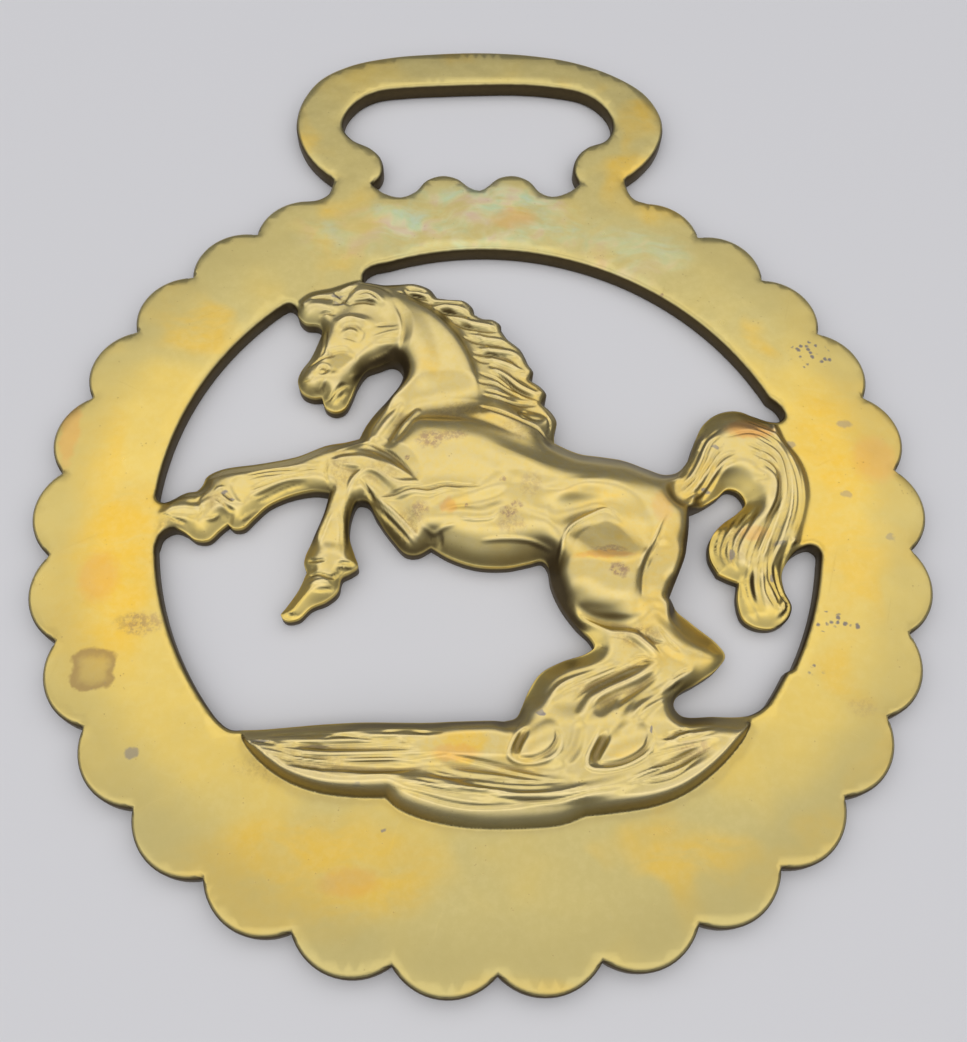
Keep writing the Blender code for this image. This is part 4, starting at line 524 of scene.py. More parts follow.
# Fine ridges (height above 0) and grooves (below 0): half-width, height and the line's points.
LINES = [
    # Eye, brow and ear.
    (0.15, -0.08, [(-12.7, 17.2), (-12.2, 17.85), (-11.3, 17.95), (-10.6, 17.4), (-10.6, 16.7),
                   (-10.9, 16.2)]),
    (0.4, 0.14, [(-12.3, 17.1), (-11.8, 17.4), (-11.3, 17.2), (-11.1, 16.8)]),
    (0.2, 0.1, [(-12.9, 18.35), (-12.0, 18.85), (-11.2, 18.6), (-10.3, 18.3)]),
    (0.15, -0.07, [(-12.4, 16.8), (-11.7, 16.6), (-11.1, 16.3)]),
    (0.2, -0.1, [(-11.4, 15.1), (-11.0, 15.2)]),
    (0.2, -0.2, [(-11.4, 21.1), (-10.3, 21.35), (-9.5, 20.85), (-9.0, 20.1)]),
    (0.2, -0.15, [(-11.8, 20.4), (-10.4, 20.4), (-9.3, 20.0)]),
    (0.18, 0.15, [(-11.5, 20.7), (-10.3, 20.7), (-9.4, 20.4)]),
    (0.25, -0.16, [(-11.4, 22.7), (-9.8, 22.5), (-8.5, 21.6), (-7.9, 20.8)]),
    # Forelock and the marks under it.
    (0.2, -0.14, [(-13.6, 22.1), (-12.8, 21.3), (-12.2, 20.6), (-11.8, 20.2)]),
    (0.2, -0.15, [(-13.4, 20.4), (-12.4, 20.8), (-12.0, 21.3)]),
    (0.18, -0.12, [(-16.4, 19.2), (-15.2, 18.95), (-14.2, 19.0)]),
    (0.18, -0.15, [(-14.6, 19.5), (-13.9, 19.6), (-13.2, 19.3)]),
    (0.22, -0.15, [(-15.6, 21.2), (-14.4, 21.3), (-13.4, 21.0)]),
    # Nose, nostril and mouth.
    (0.2, -0.12, [(-13.9, 17.9), (-13.9, 16.6), (-14.0, 15.6), (-14.4, 14.6)]),
    (0.2, -0.16, [(-15.4, 13.95), (-14.6, 14.45), (-13.8, 14.85), (-13.1, 15.1)]),
    (0.15, -0.14, [(-14.35, 13.5), (-14.1, 13.7), (-13.8, 13.5), (-13.9, 13.2), (-14.3, 13.1)]),
    (0.2, 0.07, [(-14.7, 13.4), (-14.3, 14.0), (-13.6, 13.9), (-13.4, 13.3), (-13.7, 12.9)]),
    (0.16, -0.1, [(-15.8, 12.7), (-15.2, 12.6), (-14.8, 12.8)]),
    (0.16, -0.1, [(-15.0, 11.7), (-14.5, 11.6), (-14.2, 11.9)]),
    (0.24, -0.17, [(-11.7, 12.3), (-12.2, 12.2), (-12.9, 11.5), (-13.5, 10.9), (-14.0, 10.9)]),
    (0.22, -0.1, [(-12.0, 11.7), (-12.7, 10.9), (-13.2, 10.4)]),
    (0.18, 0.12, [(-14.3, 11.3), (-14.1, 12.0), (-13.7, 12.6)]),
    (0.18, -0.15, [(-13.8, 9.9), (-13.4, 10.15), (-13.0, 9.9)]),
    (0.16, -0.12, [(-13.1, 9.6), (-12.2, 9.8)]),
    # Cheek and jaw.
    (0.22, -0.08, [(-9.5, 17.7), (-8.4, 17.8), (-7.4, 17.6)]),
    (0.22, -0.08, [(-9.4, 16.1), (-8.4, 16.2), (-7.5, 16.1)]),
    (0.2, 0.06, [(-9.8, 16.5), (-8.2, 17.0), (-7.3, 17.0)]),
    (0.2, 0.07, [(-10.1, 14.6), (-8.9, 15.15), (-7.7, 15.7)]),
    (0.2, 0.08, [(-11.7, 12.9), (-10.9, 13.5), (-10.3, 14.2)]),
    # Mane: the grooves in and between its locks.
    (0.2, -0.3, [(-6.7, 21.9), (-5.6, 21.9), (-4.9, 21.7)]),
    (0.18, -0.2, [(-7.6, 21.35), (-6.0, 21.3), (-4.6, 20.95)]),
    (0.2, -0.25, [(-4.6, 20.5), (-3.2, 20.6), (-1.6, 20.5)]),
    (0.2, -0.25, [(-3.8, 19.75), (-2.4, 19.45), (-1.0, 19.15)]),
    (0.18, -0.2, [(-2.6, 18.5), (-1.2, 17.95), (0.2, 17.6), (1.5, 17.5)]),
    (0.16, -0.2, [(-1.7, 16.9), (-0.4, 16.35), (1.0, 16.05), (2.0, 15.9)]),
    (0.16, -0.18, [(-0.8, 15.2), (0.2, 15.0), (1.2, 14.85), (2.4, 14.2)]),
    (0.14, -0.15, [(1.6, 14.9), (2.7, 14.35), (3.4, 13.5)]),
    (0.14, -0.14, [(-0.9, 14.7), (-0.1, 14.3), (0.8, 14.1)]),
    (0.14, -0.12, [(2.8, 13.4), (3.8, 13.1)]),
    (0.2, -0.16, [(1.0, 13.1), (2.0, 12.25), (2.8, 11.4), (3.8, 10.75), (5.0, 10.3)]),
    (0.2, -0.12, [(-0.3, 13.0), (1.0, 12.4), (2.1, 11.6), (3.0, 10.9)]),
    (0.16, -0.15, [(0.6, 13.9), (2.2, 13.1), (3.4, 11.9), (4.6, 11.2)]),
    (0.2, -0.25, [(-0.4, 12.0), (1.0, 11.7), (2.4, 10.95), (3.2, 10.6)]),
    (0.2, -0.28, [(0.0, 10.6), (1.2, 10.0), (2.6, 9.7), (4.6, 9.8)]),
    (0.16, -0.15, [(0.2, 11.1), (1.2, 10.65), (2.4, 10.35)]),
    (0.2, -0.25, [(-0.4, 9.2), (1.0, 8.5), (2.4, 7.9), (3.6, 7.4), (4.7, 6.9), (5.4, 6.2)]),
    (0.18, -0.15, [(4.0, 8.7), (3.4, 8.9), (3.0, 8.5), (3.3, 8.0), (3.9, 7.9)]),
    (0.16, -0.12, [(5.0, 9.0), (5.6, 8.2), (5.6, 7.2), (5.3, 6.6)]),
    # Raised leg.
    (0.16, 0.1, [(-19.0, 0.5), (-19.8, -0.2), (-20.6, -0.8)]),
    (0.22, -0.14, [(-22.6, 1.2), (-22.1, 0.8), (-21.3, 0.2), (-20.8, 0.0)]),
    (0.2, -0.14, [(-22.1, 1.7), (-21.5, 1.2), (-21.0, 0.8)]),
    (0.2, 0.12, [(-22.6, 1.6), (-22.3, 1.95), (-21.8, 2.1)]),
    (0.18, -0.14, [(-27.1, 0.0), (-26.3, -0.4), (-25.5, -0.7), (-24.8, -0.95)]),
    (0.18, -0.12, [(-23.5, 1.6), (-24.0, 0.9), (-23.6, 0.1), (-23.9, -0.9)]),
    (0.2, 0.1, [(-23.3, -0.75), (-22.7, -0.6), (-22.2, -0.2)]),
    (0.2, -0.12, [(-13.3, 4.6), (-13.5, 3.4), (-13.2, 2.4)]),
    # Elbow and forearm.
    (0.16, 0.12, [(-12.8, 5.35), (-11.8, 5.75), (-10.6, 6.1), (-9.8, 6.05)]),
    (0.2, -0.15, [(-10.4, 6.0), (-9.6, 5.85), (-8.4, 5.1), (-7.2, 3.9), (-6.2, 2.6), (-5.7, 1.9)]),
    (0.2, 0.12, [(-9.2, 0.9), (-7.6, -0.65), (-6.5, -1.9), (-5.7, -2.9)]),
    (0.22, -0.14, [(-9.5, 0.5), (-8.1, -1.0), (-7.0, -2.3), (-6.2, -3.3)]),
    (0.25, -0.2, [(-10.6, 2.6), (-10.2, 2.1), (-9.8, 1.4), (-9.4, 0.6)]),
    (0.3, -0.14, [(-3.9, -2.4), (-3.95, -3.2), (-4.4, -4.0)]),
    (0.25, 0.08, [(-5.4, -1.9), (-4.4, -2.4), (-3.6, -2.1), (-2.6, -1.95)]),
    # Bent leg.
    (0.16, -0.1, [(-12.3, -0.3), (-12.1, -2.0), (-12.15, -3.3)]),
    (0.18, 0.08, [(-12.8, -0.4), (-13.4, -2.2), (-13.7, -3.2)]),
    (0.18, 0.08, [(-11.8, 0.4), (-11.7, -2.0), (-11.8, -4.2)]),
    (0.22, -0.2, [(-14.8, -4.35), (-14.0, -4.55), (-13.2, -4.6)]),
    (0.18, -0.16, [(-12.3, -4.9), (-11.6, -4.75), (-10.9, -4.85)]),
    (0.18, -0.16, [(-12.3, -5.3), (-11.6, -5.35), (-10.9, -5.25)]),
    (0.16, 0.1, [(-12.2, -5.05), (-11.5, -5.1), (-10.8, -5.05)]),
    (0.22, -0.2, [(-14.9, -5.8), (-13.7, -5.75), (-12.8, -6.0), (-12.2, -5.7)]),
    (0.18, 0.12, [(-14.6, -6.55), (-13.4, -6.35), (-12.8, -6.55)]),
    (0.16, -0.12, [(-14.2, -7.1), (-13.2, -7.0), (-12.4, -6.9)]),
    (0.18, -0.2, [(-16.6, -8.9), (-15.9, -9.05), (-15.2, -9.0), (-14.5, -8.3)]),
    # Shoulder, flank and belly.
    (0.17, -0.13, [(-9.3, 1.15), (-7.8, 1.1), (-6.3, 1.35), (-4.9, 1.2), (-3.6, 1.45), (-2.2, 1.3),
                   (-0.6, 1.2)]),
    (0.3, 0.12, [(-8.9, 0.75), (-7.4, 0.75), (-6.0, 0.95), (-4.8, 0.8), (-3.4, 1.05), (-2.0, 0.9)]),
    (0.2, 0.1, [(-2.4, -1.5), (-0.8, -1.75), (0.4, -1.6), (0.9, -1.1)]),
    (0.22, 0.12, [(5.5, -5.6), (5.85, -4.3), (6.25, -3.1), (7.15, -2.1), (8.55, -1.3), (9.8, -0.85),
                  (10.6, -1.4), (11.2, -2.3)]),
    (0.22, 0.1, [(-0.6, -3.3), (1.6, -3.25), (3.4, -3.35), (4.6, -3.7), (5.2, -4.1)]),
    # Hamstring.
    (0.22, -0.08, [(14.9, -1.5), (14.4, -2.4), (14.1, -3.1), (13.6, -4.1), (13.0, -5.0), (12.5, -6.0),
                   (12.2, -7.2), (12.1, -8.6)]),
    (0.25, 0.08, [(14.5, -1.6), (14.0, -2.6), (13.6, -3.4), (13.0, -4.4), (12.4, -5.3), (12.0, -6.2)]),
    # Hind legs.
    (0.18, -0.14, [(13.3, -11.0), (13.9, -12.1), (14.8, -13.0)]),
    (0.18, -0.14, [(12.2, -11.4), (12.9, -12.1), (13.7, -12.3)]),
    (0.18, -0.12, [(6.2, -9.2), (7.0, -10.5), (8.2, -11.6), (9.0, -12.4)]),
    (0.2, -0.15, [(13.9, -15.2), (14.6, -14.7), (15.6, -14.3)]),
    # Hind hooves: the hollow beside each, the groove under it and the rim round both.
    (0.5, -0.35, [(8.5, -19.4), (8.0, -20.2), (7.5, -21.1), (7.4, -21.7)]),
    (0.26, -0.16, [(7.4, -21.6), (8.8, -21.7), (10.2, -21.3), (11.3, -20.5), (11.6, -19.6)]),
    (0.28, 0.16, [(8.0, -18.9), (7.5, -19.9), (6.9, -21.0), (6.8, -21.8), (7.6, -22.1), (9.2, -22.0),
                  (10.6, -21.5), (11.7, -20.7), (12.0, -19.8), (11.7, -19.0)]),
    (0.42, -0.28, [(2.4, -18.9), (2.0, -19.5), (1.6, -20.3), (1.5, -20.9)]),
    (0.24, -0.12, [(1.6, -21.0), (2.8, -21.1), (4.0, -20.6), (4.6, -19.8), (4.6, -19.0)]),
    (0.26, 0.14, [(2.0, -18.4), (1.5, -19.4), (1.0, -20.4), (1.0, -21.0), (1.7, -21.4), (2.8, -21.5),
                  (4.0, -21.2), (4.8, -20.5), (5.0, -19.7), (4.8, -18.8)]),
    # Ground.
    (0.22, -0.16, [(-18.5, -19.3), (-17.4, -19.4), (-16.4, -19.65)]),
    (0.2, -0.16, [(-15.2, -19.6), (-13.6, -19.8), (-12.2, -20.0)]),
    (0.2, -0.18, [(-13.2, -19.35), (-12.0, -19.1), (-10.4, -19.2), (-9.0, -19.4), (-7.6, -19.4),
                  (-6.5, -19.8)]),
    (0.2, 0.1, [(-13.8, -18.85), (-11.0, -18.8), (-9.0, -18.95), (-5.4, -18.9)]),
    (0.2, -0.14, [(-8.6, -18.9), (-6.6, -18.8), (-4.8, -19.1)]),
    (0.22, -0.16, [(-16.4, -20.3), (-14.0, -20.6), (-10.0, -20.65), (-6.0, -20.75), (-3.6, -20.6)]),
    (0.2, 0.12, [(-16.2, -20.55), (-12.0, -20.95), (-8.0, -21.0), (-5.6, -21.2)]),
    (0.2, -0.16, [(-15.6, -21.1), (-12.0, -21.6), (-8.0, -21.7), (-5.6, -21.6)]),
    (0.2, 0.12, [(-14.0, -21.5), (-10.0, -21.95), (-7.0, -22.1)]),
    (0.2, -0.16, [(-6.2, -22.8), (-4.0, -23.35), (-1.0, -23.8), (1.6, -24.2), (4.4, -24.2), (7.0, -23.7),
                  (9.2, -23.4)]),
    (0.2, 0.12, [(-7.2, -22.5), (-4.0, -23.0), (-1.0, -23.4), (1.6, -23.75), (4.2, -23.75), (6.6, -23.2)]),
    (0.18, -0.12, [(-4.6, -22.2), (-1.0, -22.7), (2.0, -23.0), (5.0, -22.9)]),
    (0.2, -0.14, [(12.6, -19.9), (13.6, -19.6), (14.8, -19.1)]),
    (0.18, 0.12, [(12.8, -20.2), (13.8, -19.9), (15.0, -19.4)]),
    (0.18, -0.12, [(9.6, -23.2), (11.6, -22.6), (13.6, -22.0), (15.4, -21.0)]),
    (0.18, 0.1, [(10.0, -22.8), (12.0, -22.1), (14.0, -21.5)]),
]
# Hair and other strands: the first and the last line, how many, their half-width and height.
# Raised leg, tail, hind legs, the tail's end, ground, and the web between the hind cannons.
STRANDS = [
    ([(-14.0, 4.0), (-16.0, 3.9), (-18.4, 3.6), (-20.6, 3.1)],
     [(-14.2, 2.4), (-16.4, 2.1), (-18.4, 1.3), (-20.4, 0.2)], 5, 0.22, -0.13),
    ([(16.0, 1.9), (17.1, 3.1), (17.9, 4.7), (18.7, 6.6), (20.0, 8.0)],
     [(16.8, -0.2), (18.4, 0.9), (19.5, 2.3), (20.6, 3.6), (22.2, 4.0)], 6, 0.28, -0.17),
    (
        [(20.4, 7.2), (22.6, 8.0), (24.9, 7.2), (26.4, 5.2), (27.1, 2.4), (26.8, -0.4), (25.6, -3.0),
         (24.4, -5.2), (24.0, -7.4), (24.2, -9.6)],
        [(21.4, 4.3), (22.8, 4.1), (24.2, 3.5), (24.6, 3.2), (25.0, 1.4), (24.2, -0.4), (22.6, -2.6),
         (21.2, -5.0), (20.9, -7.4), (21.2, -10.2)],
        10, 0.26, -0.16,
    ),
    ([(21.9, 0.4), (20.3, -1.1), (19.1, -2.9), (18.9, -4.6), (19.8, -5.9)],
     [(23.2, -0.4), (21.9, -2.0), (20.8, -3.6), (20.6, -5.2), (21.2, -6.4)], 5, 0.26, -0.14),
    ([(12.6, -13.4), (10.0, -14.4), (7.4, -15.6), (5.6, -17.0)],
     [(9.4, -13.6), (6.6, -14.5), (4.6, -15.4), (3.4, -16.6)], 3, 0.32, -0.14),
    ([(13.6, -14.2), (11.8, -15.5), (9.8, -16.9), (8.8, -18.2)],
     [(15.4, -15.0), (13.4, -16.5), (11.8, -17.6), (11.0, -18.6)], 3, 0.32, -0.14),
    ([(20.4, -6.6), (20.3, -8.4), (21.0, -10.8)],
     [(23.6, -5.4), (23.8, -7.4), (24.5, -9.9)], 7, 0.25, -0.2),
    ([(-18.4, -18.9), (-12.0, -18.9), (-4.0, -19.0)],
     [(-17.2, -20.4), (-12.0, -21.8), (-5.0, -22.0)], 8, 0.24, -0.13),
    ([(-5.0, -20.4), (0.0, -21.5), (4.6, -22.6)],
     [(-7.4, -23.2), (-1.0, -24.7), (6.4, -24.2)], 7, 0.24, -0.13),
    ([(12.6, -19.2), (15.0, -19.0), (17.6, -19.0)],
     [(9.6, -23.6), (13.0, -22.8), (16.0, -21.0)], 6, 0.22, -0.13),
    ([(10.6, -13.6), (11.6, -13.2), (12.6, -13.4)],
     [(10.4, -14.2), (11.6, -14.0), (12.4, -13.9)], 3, 0.14, -0.08),
]


# How the tables become a surface

# Each bead of a mass counts by 1 / (this + squared gap in half-widths) ** 2.
LEVEL_SOFT = 0.15
LEVEL_PITCH = 0.5
# Each row of EDGES counts by 1 / (this + squared gap) ** 2.
EDGE_SOFT = 0.5
# The legs run out into the ground from this far above GROUND_Y to this far below.
LEG_FOOT = (0.4, 1.8)
# A lock's side falls to this far under the face.
LOCK_DEPTH = 0.4
# The bell curve of a bead: how quickly it fades with the squared gap.
BEAD_KEEN = 6.0
# A table's box is grown by this many times its greatest half-width.
BOX_MARGIN = 1.3
# Steps along the curves. A bead's is a share of its table's least half-width.
BEAD_PITCH = 0.3
FACET_STEP = 0.3
LEDGE_STEP = 0.25
FIELD_STEP = 0.4
GROUND_STEP = 0.5
LINE_STEP = 0.6
STRAND_STEP = 0.1
# A ledge's reach is never less.
LEAST_REACH = 0.05
# A fine line runs out over the last 1 / LINE_ENDS of its way, and narrows to LINE_WIDTH.
LINE_ENDS = 4
LINE_LEAST = 0.02
LINE_WIDTH = 0.6
# Fine lines: the limits of their height together, and the distances over which they fade at an outline.
FINE_LIMITS = (-0.4, 0.3)
FINE_FADE = (0.05, 0.5)
# Strands, in shares of the gap between two: how far one is off its place, and how far it sways.
STRAND_SHIFT = 0.3
STRAND_SWAY = 0.25
# The sway's turn over a strand and its start, in radians.
STRAND_SWINGS = (3, 9)
STRAND_PHASE = (0, 6)
# A strand's points, and how many of them an end may lose.
STRAND_STEPS = 24
STRAND_CUT = STRAND_STEPS // 6
# A strand's own share of the row's half-width and height.
STRAND_WIDTHS = (0.8, 1.2)
STRAND_HEIGHTS = (0.6, 1.3)
STRAND_SEED = 7
# The hollows' dirt begins over these distances from an outline.
RECESS_FADE = (0.3, 0.8)
# Distance by a sum over the outlines: pitch, reach, least squared gap, and where it takes over.
SUM_PITCH = 0.35
SUM_REACH = 9.0
SUM_LEAST = 0.04
SUM_FROM = (0.5, 1.5)
# Past the plate's edge round its slope rises at this rate, out of the face's way.
RIM_SLOPE = 5
# Round between the face and its slopes, on the plate and on low parts of the horse. On high parts it is wider
# by HIGH_BLEND * (height over HIGH_FROM, up to HIGH_SPAN) ** HIGH_POWER.
PLATE_BLEND = 0.05
LOW_BLEND = 0.2
HIGH_BLEND = 0.35
HIGH_FROM = 2.2
HIGH_SPAN = 1.9
HIGH_POWER = 1.6


def slabs(points, ends, reach):
    """The points in order of y, and for each pair of ends the run of them within reach of both in y."""
    order = np.argsort(points[:, 1])
    y = points[order, 1]
    low = np.searchsorted(y, ends.min(axis=1) - reach)
    high = np.searchsorted(y, ends.max(axis=1) + reach)
    return order, low, high


def distance_to(points, loops, reach=3.0):
    """How far each point is from the nearest of the closed outlines, or reach where that is further."""
    a = np.vstack(loops)
    b = np.vstack([np.roll(loop, -1, axis=0) for loop in loops])
    order, low, high = slabs(points, np.column_stack([a[:, 1], b[:, 1]]), reach)
    sorted_points = points[order]
    best = np.full(len(points), reach**2)
    for start, end, first, last in zip(a, b, low, high):
        near = sorted_points[first:last]
        span = end - start
        t = np.clip((near - start) @ span / (span @ span), 0, 1)
        gap = near - start - t[:, None] * span
        best[first:last] = np.minimum(best[first:last], (gap * gap).sum(axis=1))
    out = np.empty(len(points))
    out[order] = np.sqrt(best)
    return out


def smooth_distance(points, distance, loops):
    """The distance with its creases rounded: exact near an outline, and further in worked out from a sum.

    Each short piece of outline adds its length / gap ** 5. A long straight edge at distance d gives
    4 / (3 d ** 4), so (3 / 4 of the sum) ** (-1 / 4) is a distance that is smooth everywhere.
    """
    middles, lengths = [], []
    for loop in loops:
        span = np.roll(loop, -1, axis=0) - loop
        count = np.maximum((np.hypot(*span.T) / SUM_PITCH).astype(int), 1)
        index = np.repeat(np.arange(len(loop)), count)
        part = np.arange(len(index)) - np.repeat(np.cumsum(count) - count, count)
        middles.append(loop[index] + span[index] * ((part + 0.5) / count[index])[:, None])
        lengths.append((np.hypot(*span.T) / count)[index])
    middles, lengths = np.vstack(middles), np.concatenate(lengths)
    order, low, high = slabs(points, middles[:, 1:], SUM_REACH)
    sorted_points = points[order]
    total = np.full(len(points), 1e-9)
    for middle, length, first, last in zip(middles, lengths, low, high):
        gap = ((sorted_points[first:last] - middle) ** 2).sum(axis=1)
        total[first:last] += length / np.maximum(gap, SUM_LEAST) ** 2.5
    summed = np.empty(len(points))
    summed[order] = (0.75 * total) ** -0.25
    return distance + ease(distance, *SUM_FROM) * (summed - distance)


def inside(points, loop):
    """Which points the closed outline holds, by counting the edges to the right of each."""
    ahead = np.roll(loop, -1, axis=0)
    order, low, high = slabs(points, np.column_stack([loop[:, 1], ahead[:, 1]]), 0.0)
    x, y = points[order].T
    odd = np.zeros(len(points), bool)
    for (ax, ay), (bx, by), first, last in zip(loop, ahead, low, high):
        if ay != by:
            here = y[first:last]
            crossing = (bx - ax) * (here - ay) / (by - ay) + ax
            odd[first:last] ^= ((ay > here) != (by > here)) & (x[first:last] < crossing)
    out = np.empty(len(points), bool)
    out[order] = odd
    return out


def squared_gap(points, x, y):
    """The square of each point's distance from a place."""
    return (points[:, 0] - x) ** 2 + (points[:, 1] - y) ** 2


def beads(table, pitch=BEAD_PITCH):
    """The table's curve as beads: x, y, half-width, height, and the share of the half-width that it spans."""
    curve = spline(table, pitch * np.min(np.asarray(table)[:, 2]))
    span = np.hypot(*np.gradient(curve[:, :2], axis=0).T)
    return np.column_stack([curve, span / curve[:, 2]])


def along(points, table):
    """How many half-widths each point is from the curve, and the height there. Both are smooth everywhere:

    each bead counts by exp(-keen * squared gap), and -log(sum) / keen gives the squared gap back.
    """
    total = np.full(len(points), 1e-12)
    height = np.zeros(len(points))
    for x, y, width, bead_height, span in beads(table):
        gap = squared_gap(points, x, y) / width**2
        weight = span * np.sqrt(BEAD_KEEN / np.pi) * np.exp(-BEAD_KEEN * gap)
        total += weight
        height += weight * bead_height
    return np.sqrt(np.clip(-np.log(total) / BEAD_KEEN, 0, None)), height / total


def soft_max(a, b, blend):
    """The larger of two heights, with a round of the blend's size where they cross."""
    return np.maximum(a, b) + np.maximum(blend - np.abs(a - b), 0) ** 2 / (4 * blend)


def soft_min(a, b, blend):
    """The smaller of two heights, with a round of the blend's size where they cross."""
    return -soft_max(-a, -b, blend)


def ease(x, start, end):
    """A smooth rise from 0 at start to 1 at end: 3 t ** 2 - 2 t ** 3."""
    t = np.clip((x - start) / (end - start), 0, 1)
    return t * t * (3 - 2 * t)


def level(points):
    """The general height of the horse: the mean of the beads' heights, each weighted by how near it is."""
    total = np.zeros(len(points))
    weights = np.zeros(len(points))
    for table in LEVELS:
        for x, y, width, height, span in beads(table, LEVEL_PITCH):
            weight = span / (LEVEL_SOFT + squared_gap(points, x, y) / width**2) ** 2
            total += weight * height
            weights += weight
    return total / weights


def edge_of(points, distance):
    """The slope that rises from the horse's outline: height + rise * distance ** power.

    The three come from the rows of EDGES, and the nearest count most. The distance starts with a short level.
    """
    total = np.zeros((3, len(points)))
    weights = np.zeros(len(points))
    for x, y, *values in EDGES:
        weight = 1 / (EDGE_SOFT + squared_gap(points, x, y)) ** 2
        total += weight * np.array(values)[:, None]
        weights += weight
    height, rise, power = total / weights
    beyond = distance - FLANGE + FLANGE * np.exp(-distance / FLANGE)
    return height + rise * beyond**power


def reached(points, table):
    """Which points lie in the table's box, grown by a little more than its greatest half-width."""
    grown = BOX_MARGIN * table[:, 2].max()
    low = table[:, :2].min(axis=0) - grown
    high = table[:, :2].max(axis=0) + grown
    return ((points > low) & (points < high)).all(axis=1)


def lock(z, points, table, floor):
    """Joins in a rounded lock: floor + (height - floor) * (1 - share ** 2), over its half-width."""
    table = np.asarray(table)
    near = reached(points, table)
    share, height = along(points[near], table)
    swell = np.clip(1 - share**2, 0, 1)
    swell = floor[near] + (height - floor[near]) * swell
    z[near] = np.where(share < 1, soft_max(z[near], swell, LOCK_BLEND), z[near])


def fold(z, points, table):
    """Lays on a soft ridge or hollow: height * (1 - share ** 2) ** 2, which fades out at its half-width."""
    table = np.asarray(table)
    near = reached(points, table)
    share, height = along(points[near], table)
    z[near] += height * np.clip(1 - share**2, 0, 1) ** 2


def facet(z, points, soft, outline, place, east, north):
    """Lays a flat plane, place's height + east * dx + north * dy, over what the outline holds."""
    edge = closed([outline + outline[:1]], FACET_STEP)
    near = reached(points, np.column_stack([edge, np.full((len(edge), 2), 1.0)]))
    here = points[near]
    depth = distance_to(here, [edge]) * np.where(inside(here, edge), 1, -1)
    share = ease(depth, -soft, soft)
    plane = place[2] + east * (here[:, 0] - place[0]) + north * (here[:, 1] - place[1])
    z[near] = (1 - share) * z[near] + share * plane


def ledge(z, points, width, table):
    """Cuts a step down on the right of the curve, after which the face comes back evenly over its reach:

    height / 2 * (1 - tanh(side / width)) * (1 - distance / reach), where side is the distance, below 0 on
    the right.
    """
    curve = spline(table, LEDGE_STEP)
    near = np.flatnonzero(reached(points, curve))
    here = points[near]
    best = np.full(len(here), np.inf)
    signed, reach, height = np.zeros((3, len(here)))
    for a, b in zip(curve[:-1], curve[1:]):
        span = (b - a)[:2]
        gap = here - a[:2]
        t = np.clip(gap @ span / (span @ span), 0, 1)
        away = np.hypot(*(gap - t[:, None] * span).T)
        closer = away < best
        best[closer] = away[closer]
        side = np.sign(span[0] * gap[:, 1] - span[1] * gap[:, 0])
        signed[closer] = (side * away)[closer]
        reach[closer] = (a[2] + t * (b - a)[2])[closer]
        height[closer] = (a[3] + t * (b - a)[3])[closer]
    share = np.clip(1 - np.abs(signed) / np.maximum(reach, LEAST_REACH), 0, 1)
    z[near] -= 0.5 * height * (1 - np.tanh(signed / width)) * share


def run_along(curve):
    """The way along the curve from its start to each of its points."""
    return np.concatenate([[0], np.cumsum(np.hypot(*np.diff(curve, axis=0).T))])


def line_table(width, height, path):
    """A fine line as a table. Over the quarter at each end its height falls with the root of the way left,

    and its half-width falls with it, towards six tenths.
    """
    curve = spline(path, LINE_STEP)
    run = run_along(curve)
    run /= run[-1]
    taper = np.sqrt(np.clip(np.minimum(run, 1 - run) * LINE_ENDS, LINE_LEAST, 1))
    return np.column_stack([curve, width * (LINE_WIDTH + (1 - LINE_WIDTH) * taper), height * taper])


def strands(first, last, count, width, height, random):
    """Fine lines spread evenly from the first to the last, each cut to its own length.

    A strand's place between the two is a little off, and sways as a sine along it.
    """
    ends = []
    for path in (first, last):
        curve = spline(path, STRAND_STEP)
        run = run_along(curve)
        share = np.linspace(0, run[-1], STRAND_STEPS)
        ends.append(np.column_stack([np.interp(share, run, curve[:, 0]), np.interp(share, run, curve[:, 1])]))
    for index in range(count):
        part = (index + random.uniform(-STRAND_SHIFT, STRAND_SHIFT)) / max(count - 1, 1)
        swing = np.linspace(0, random.uniform(*STRAND_SWINGS), STRAND_STEPS) + random.uniform(*STRAND_PHASE)
        share = np.clip(part + STRAND_SWAY / count * np.sin(swing), 0, 1)[:, None]
        path = (1 - share) * ends[0] + share * ends[1]
        start = random.integers(0, STRAND_CUT)
        stop = STRAND_STEPS - random.integers(0, STRAND_CUT)
        own_width = width * random.uniform(*STRAND_WIDTHS)
        own_height = height * random.uniform(*STRAND_HEIGHTS)
        yield line_table(own_width, own_height, path[start:stop:3])


def ground(points):
    """The plate's face and the mound on it: rise * (1 - (1 - way in / bank) ** power) from its edge."""
    edge = closed(MOUND_EDGE, GROUND_STEP)
    way_in = np.where(inside(points, edge), distance_to(points, [edge]), 0)
    bank = MOUND_BANK * (MOUND_SIDE + (1 - MOUND_SIDE) * np.exp(-((points[:, 0] / MOUND_MIDDLE) ** 2)))
    return PLATE_TOP + MOUND_RISE * (1 - np.clip(1 - way_in / bank, 0, 1) ** MOUND_POWER)


def carved(points, plain):
    """The horse before any slope at its outline: the general height, with locks, folds, facets and ledges."""
    above, below = LEG_FOOT
    low = ease(-points[:, 1], -GROUND_Y - above, -GROUND_Y + below)
    z = (1 - low) * level(points) + low * plain
    floor = z - LOCK_DEPTH
    for table in LOCKS:
        lock(z, points, table, floor)
    for table in FOLDS:
        fold(z, points, table)
    for row in FACETS:
        facet(z, points, *row)
    for width, table in LEDGES:
        ledge(z, points, width, table)
    return z


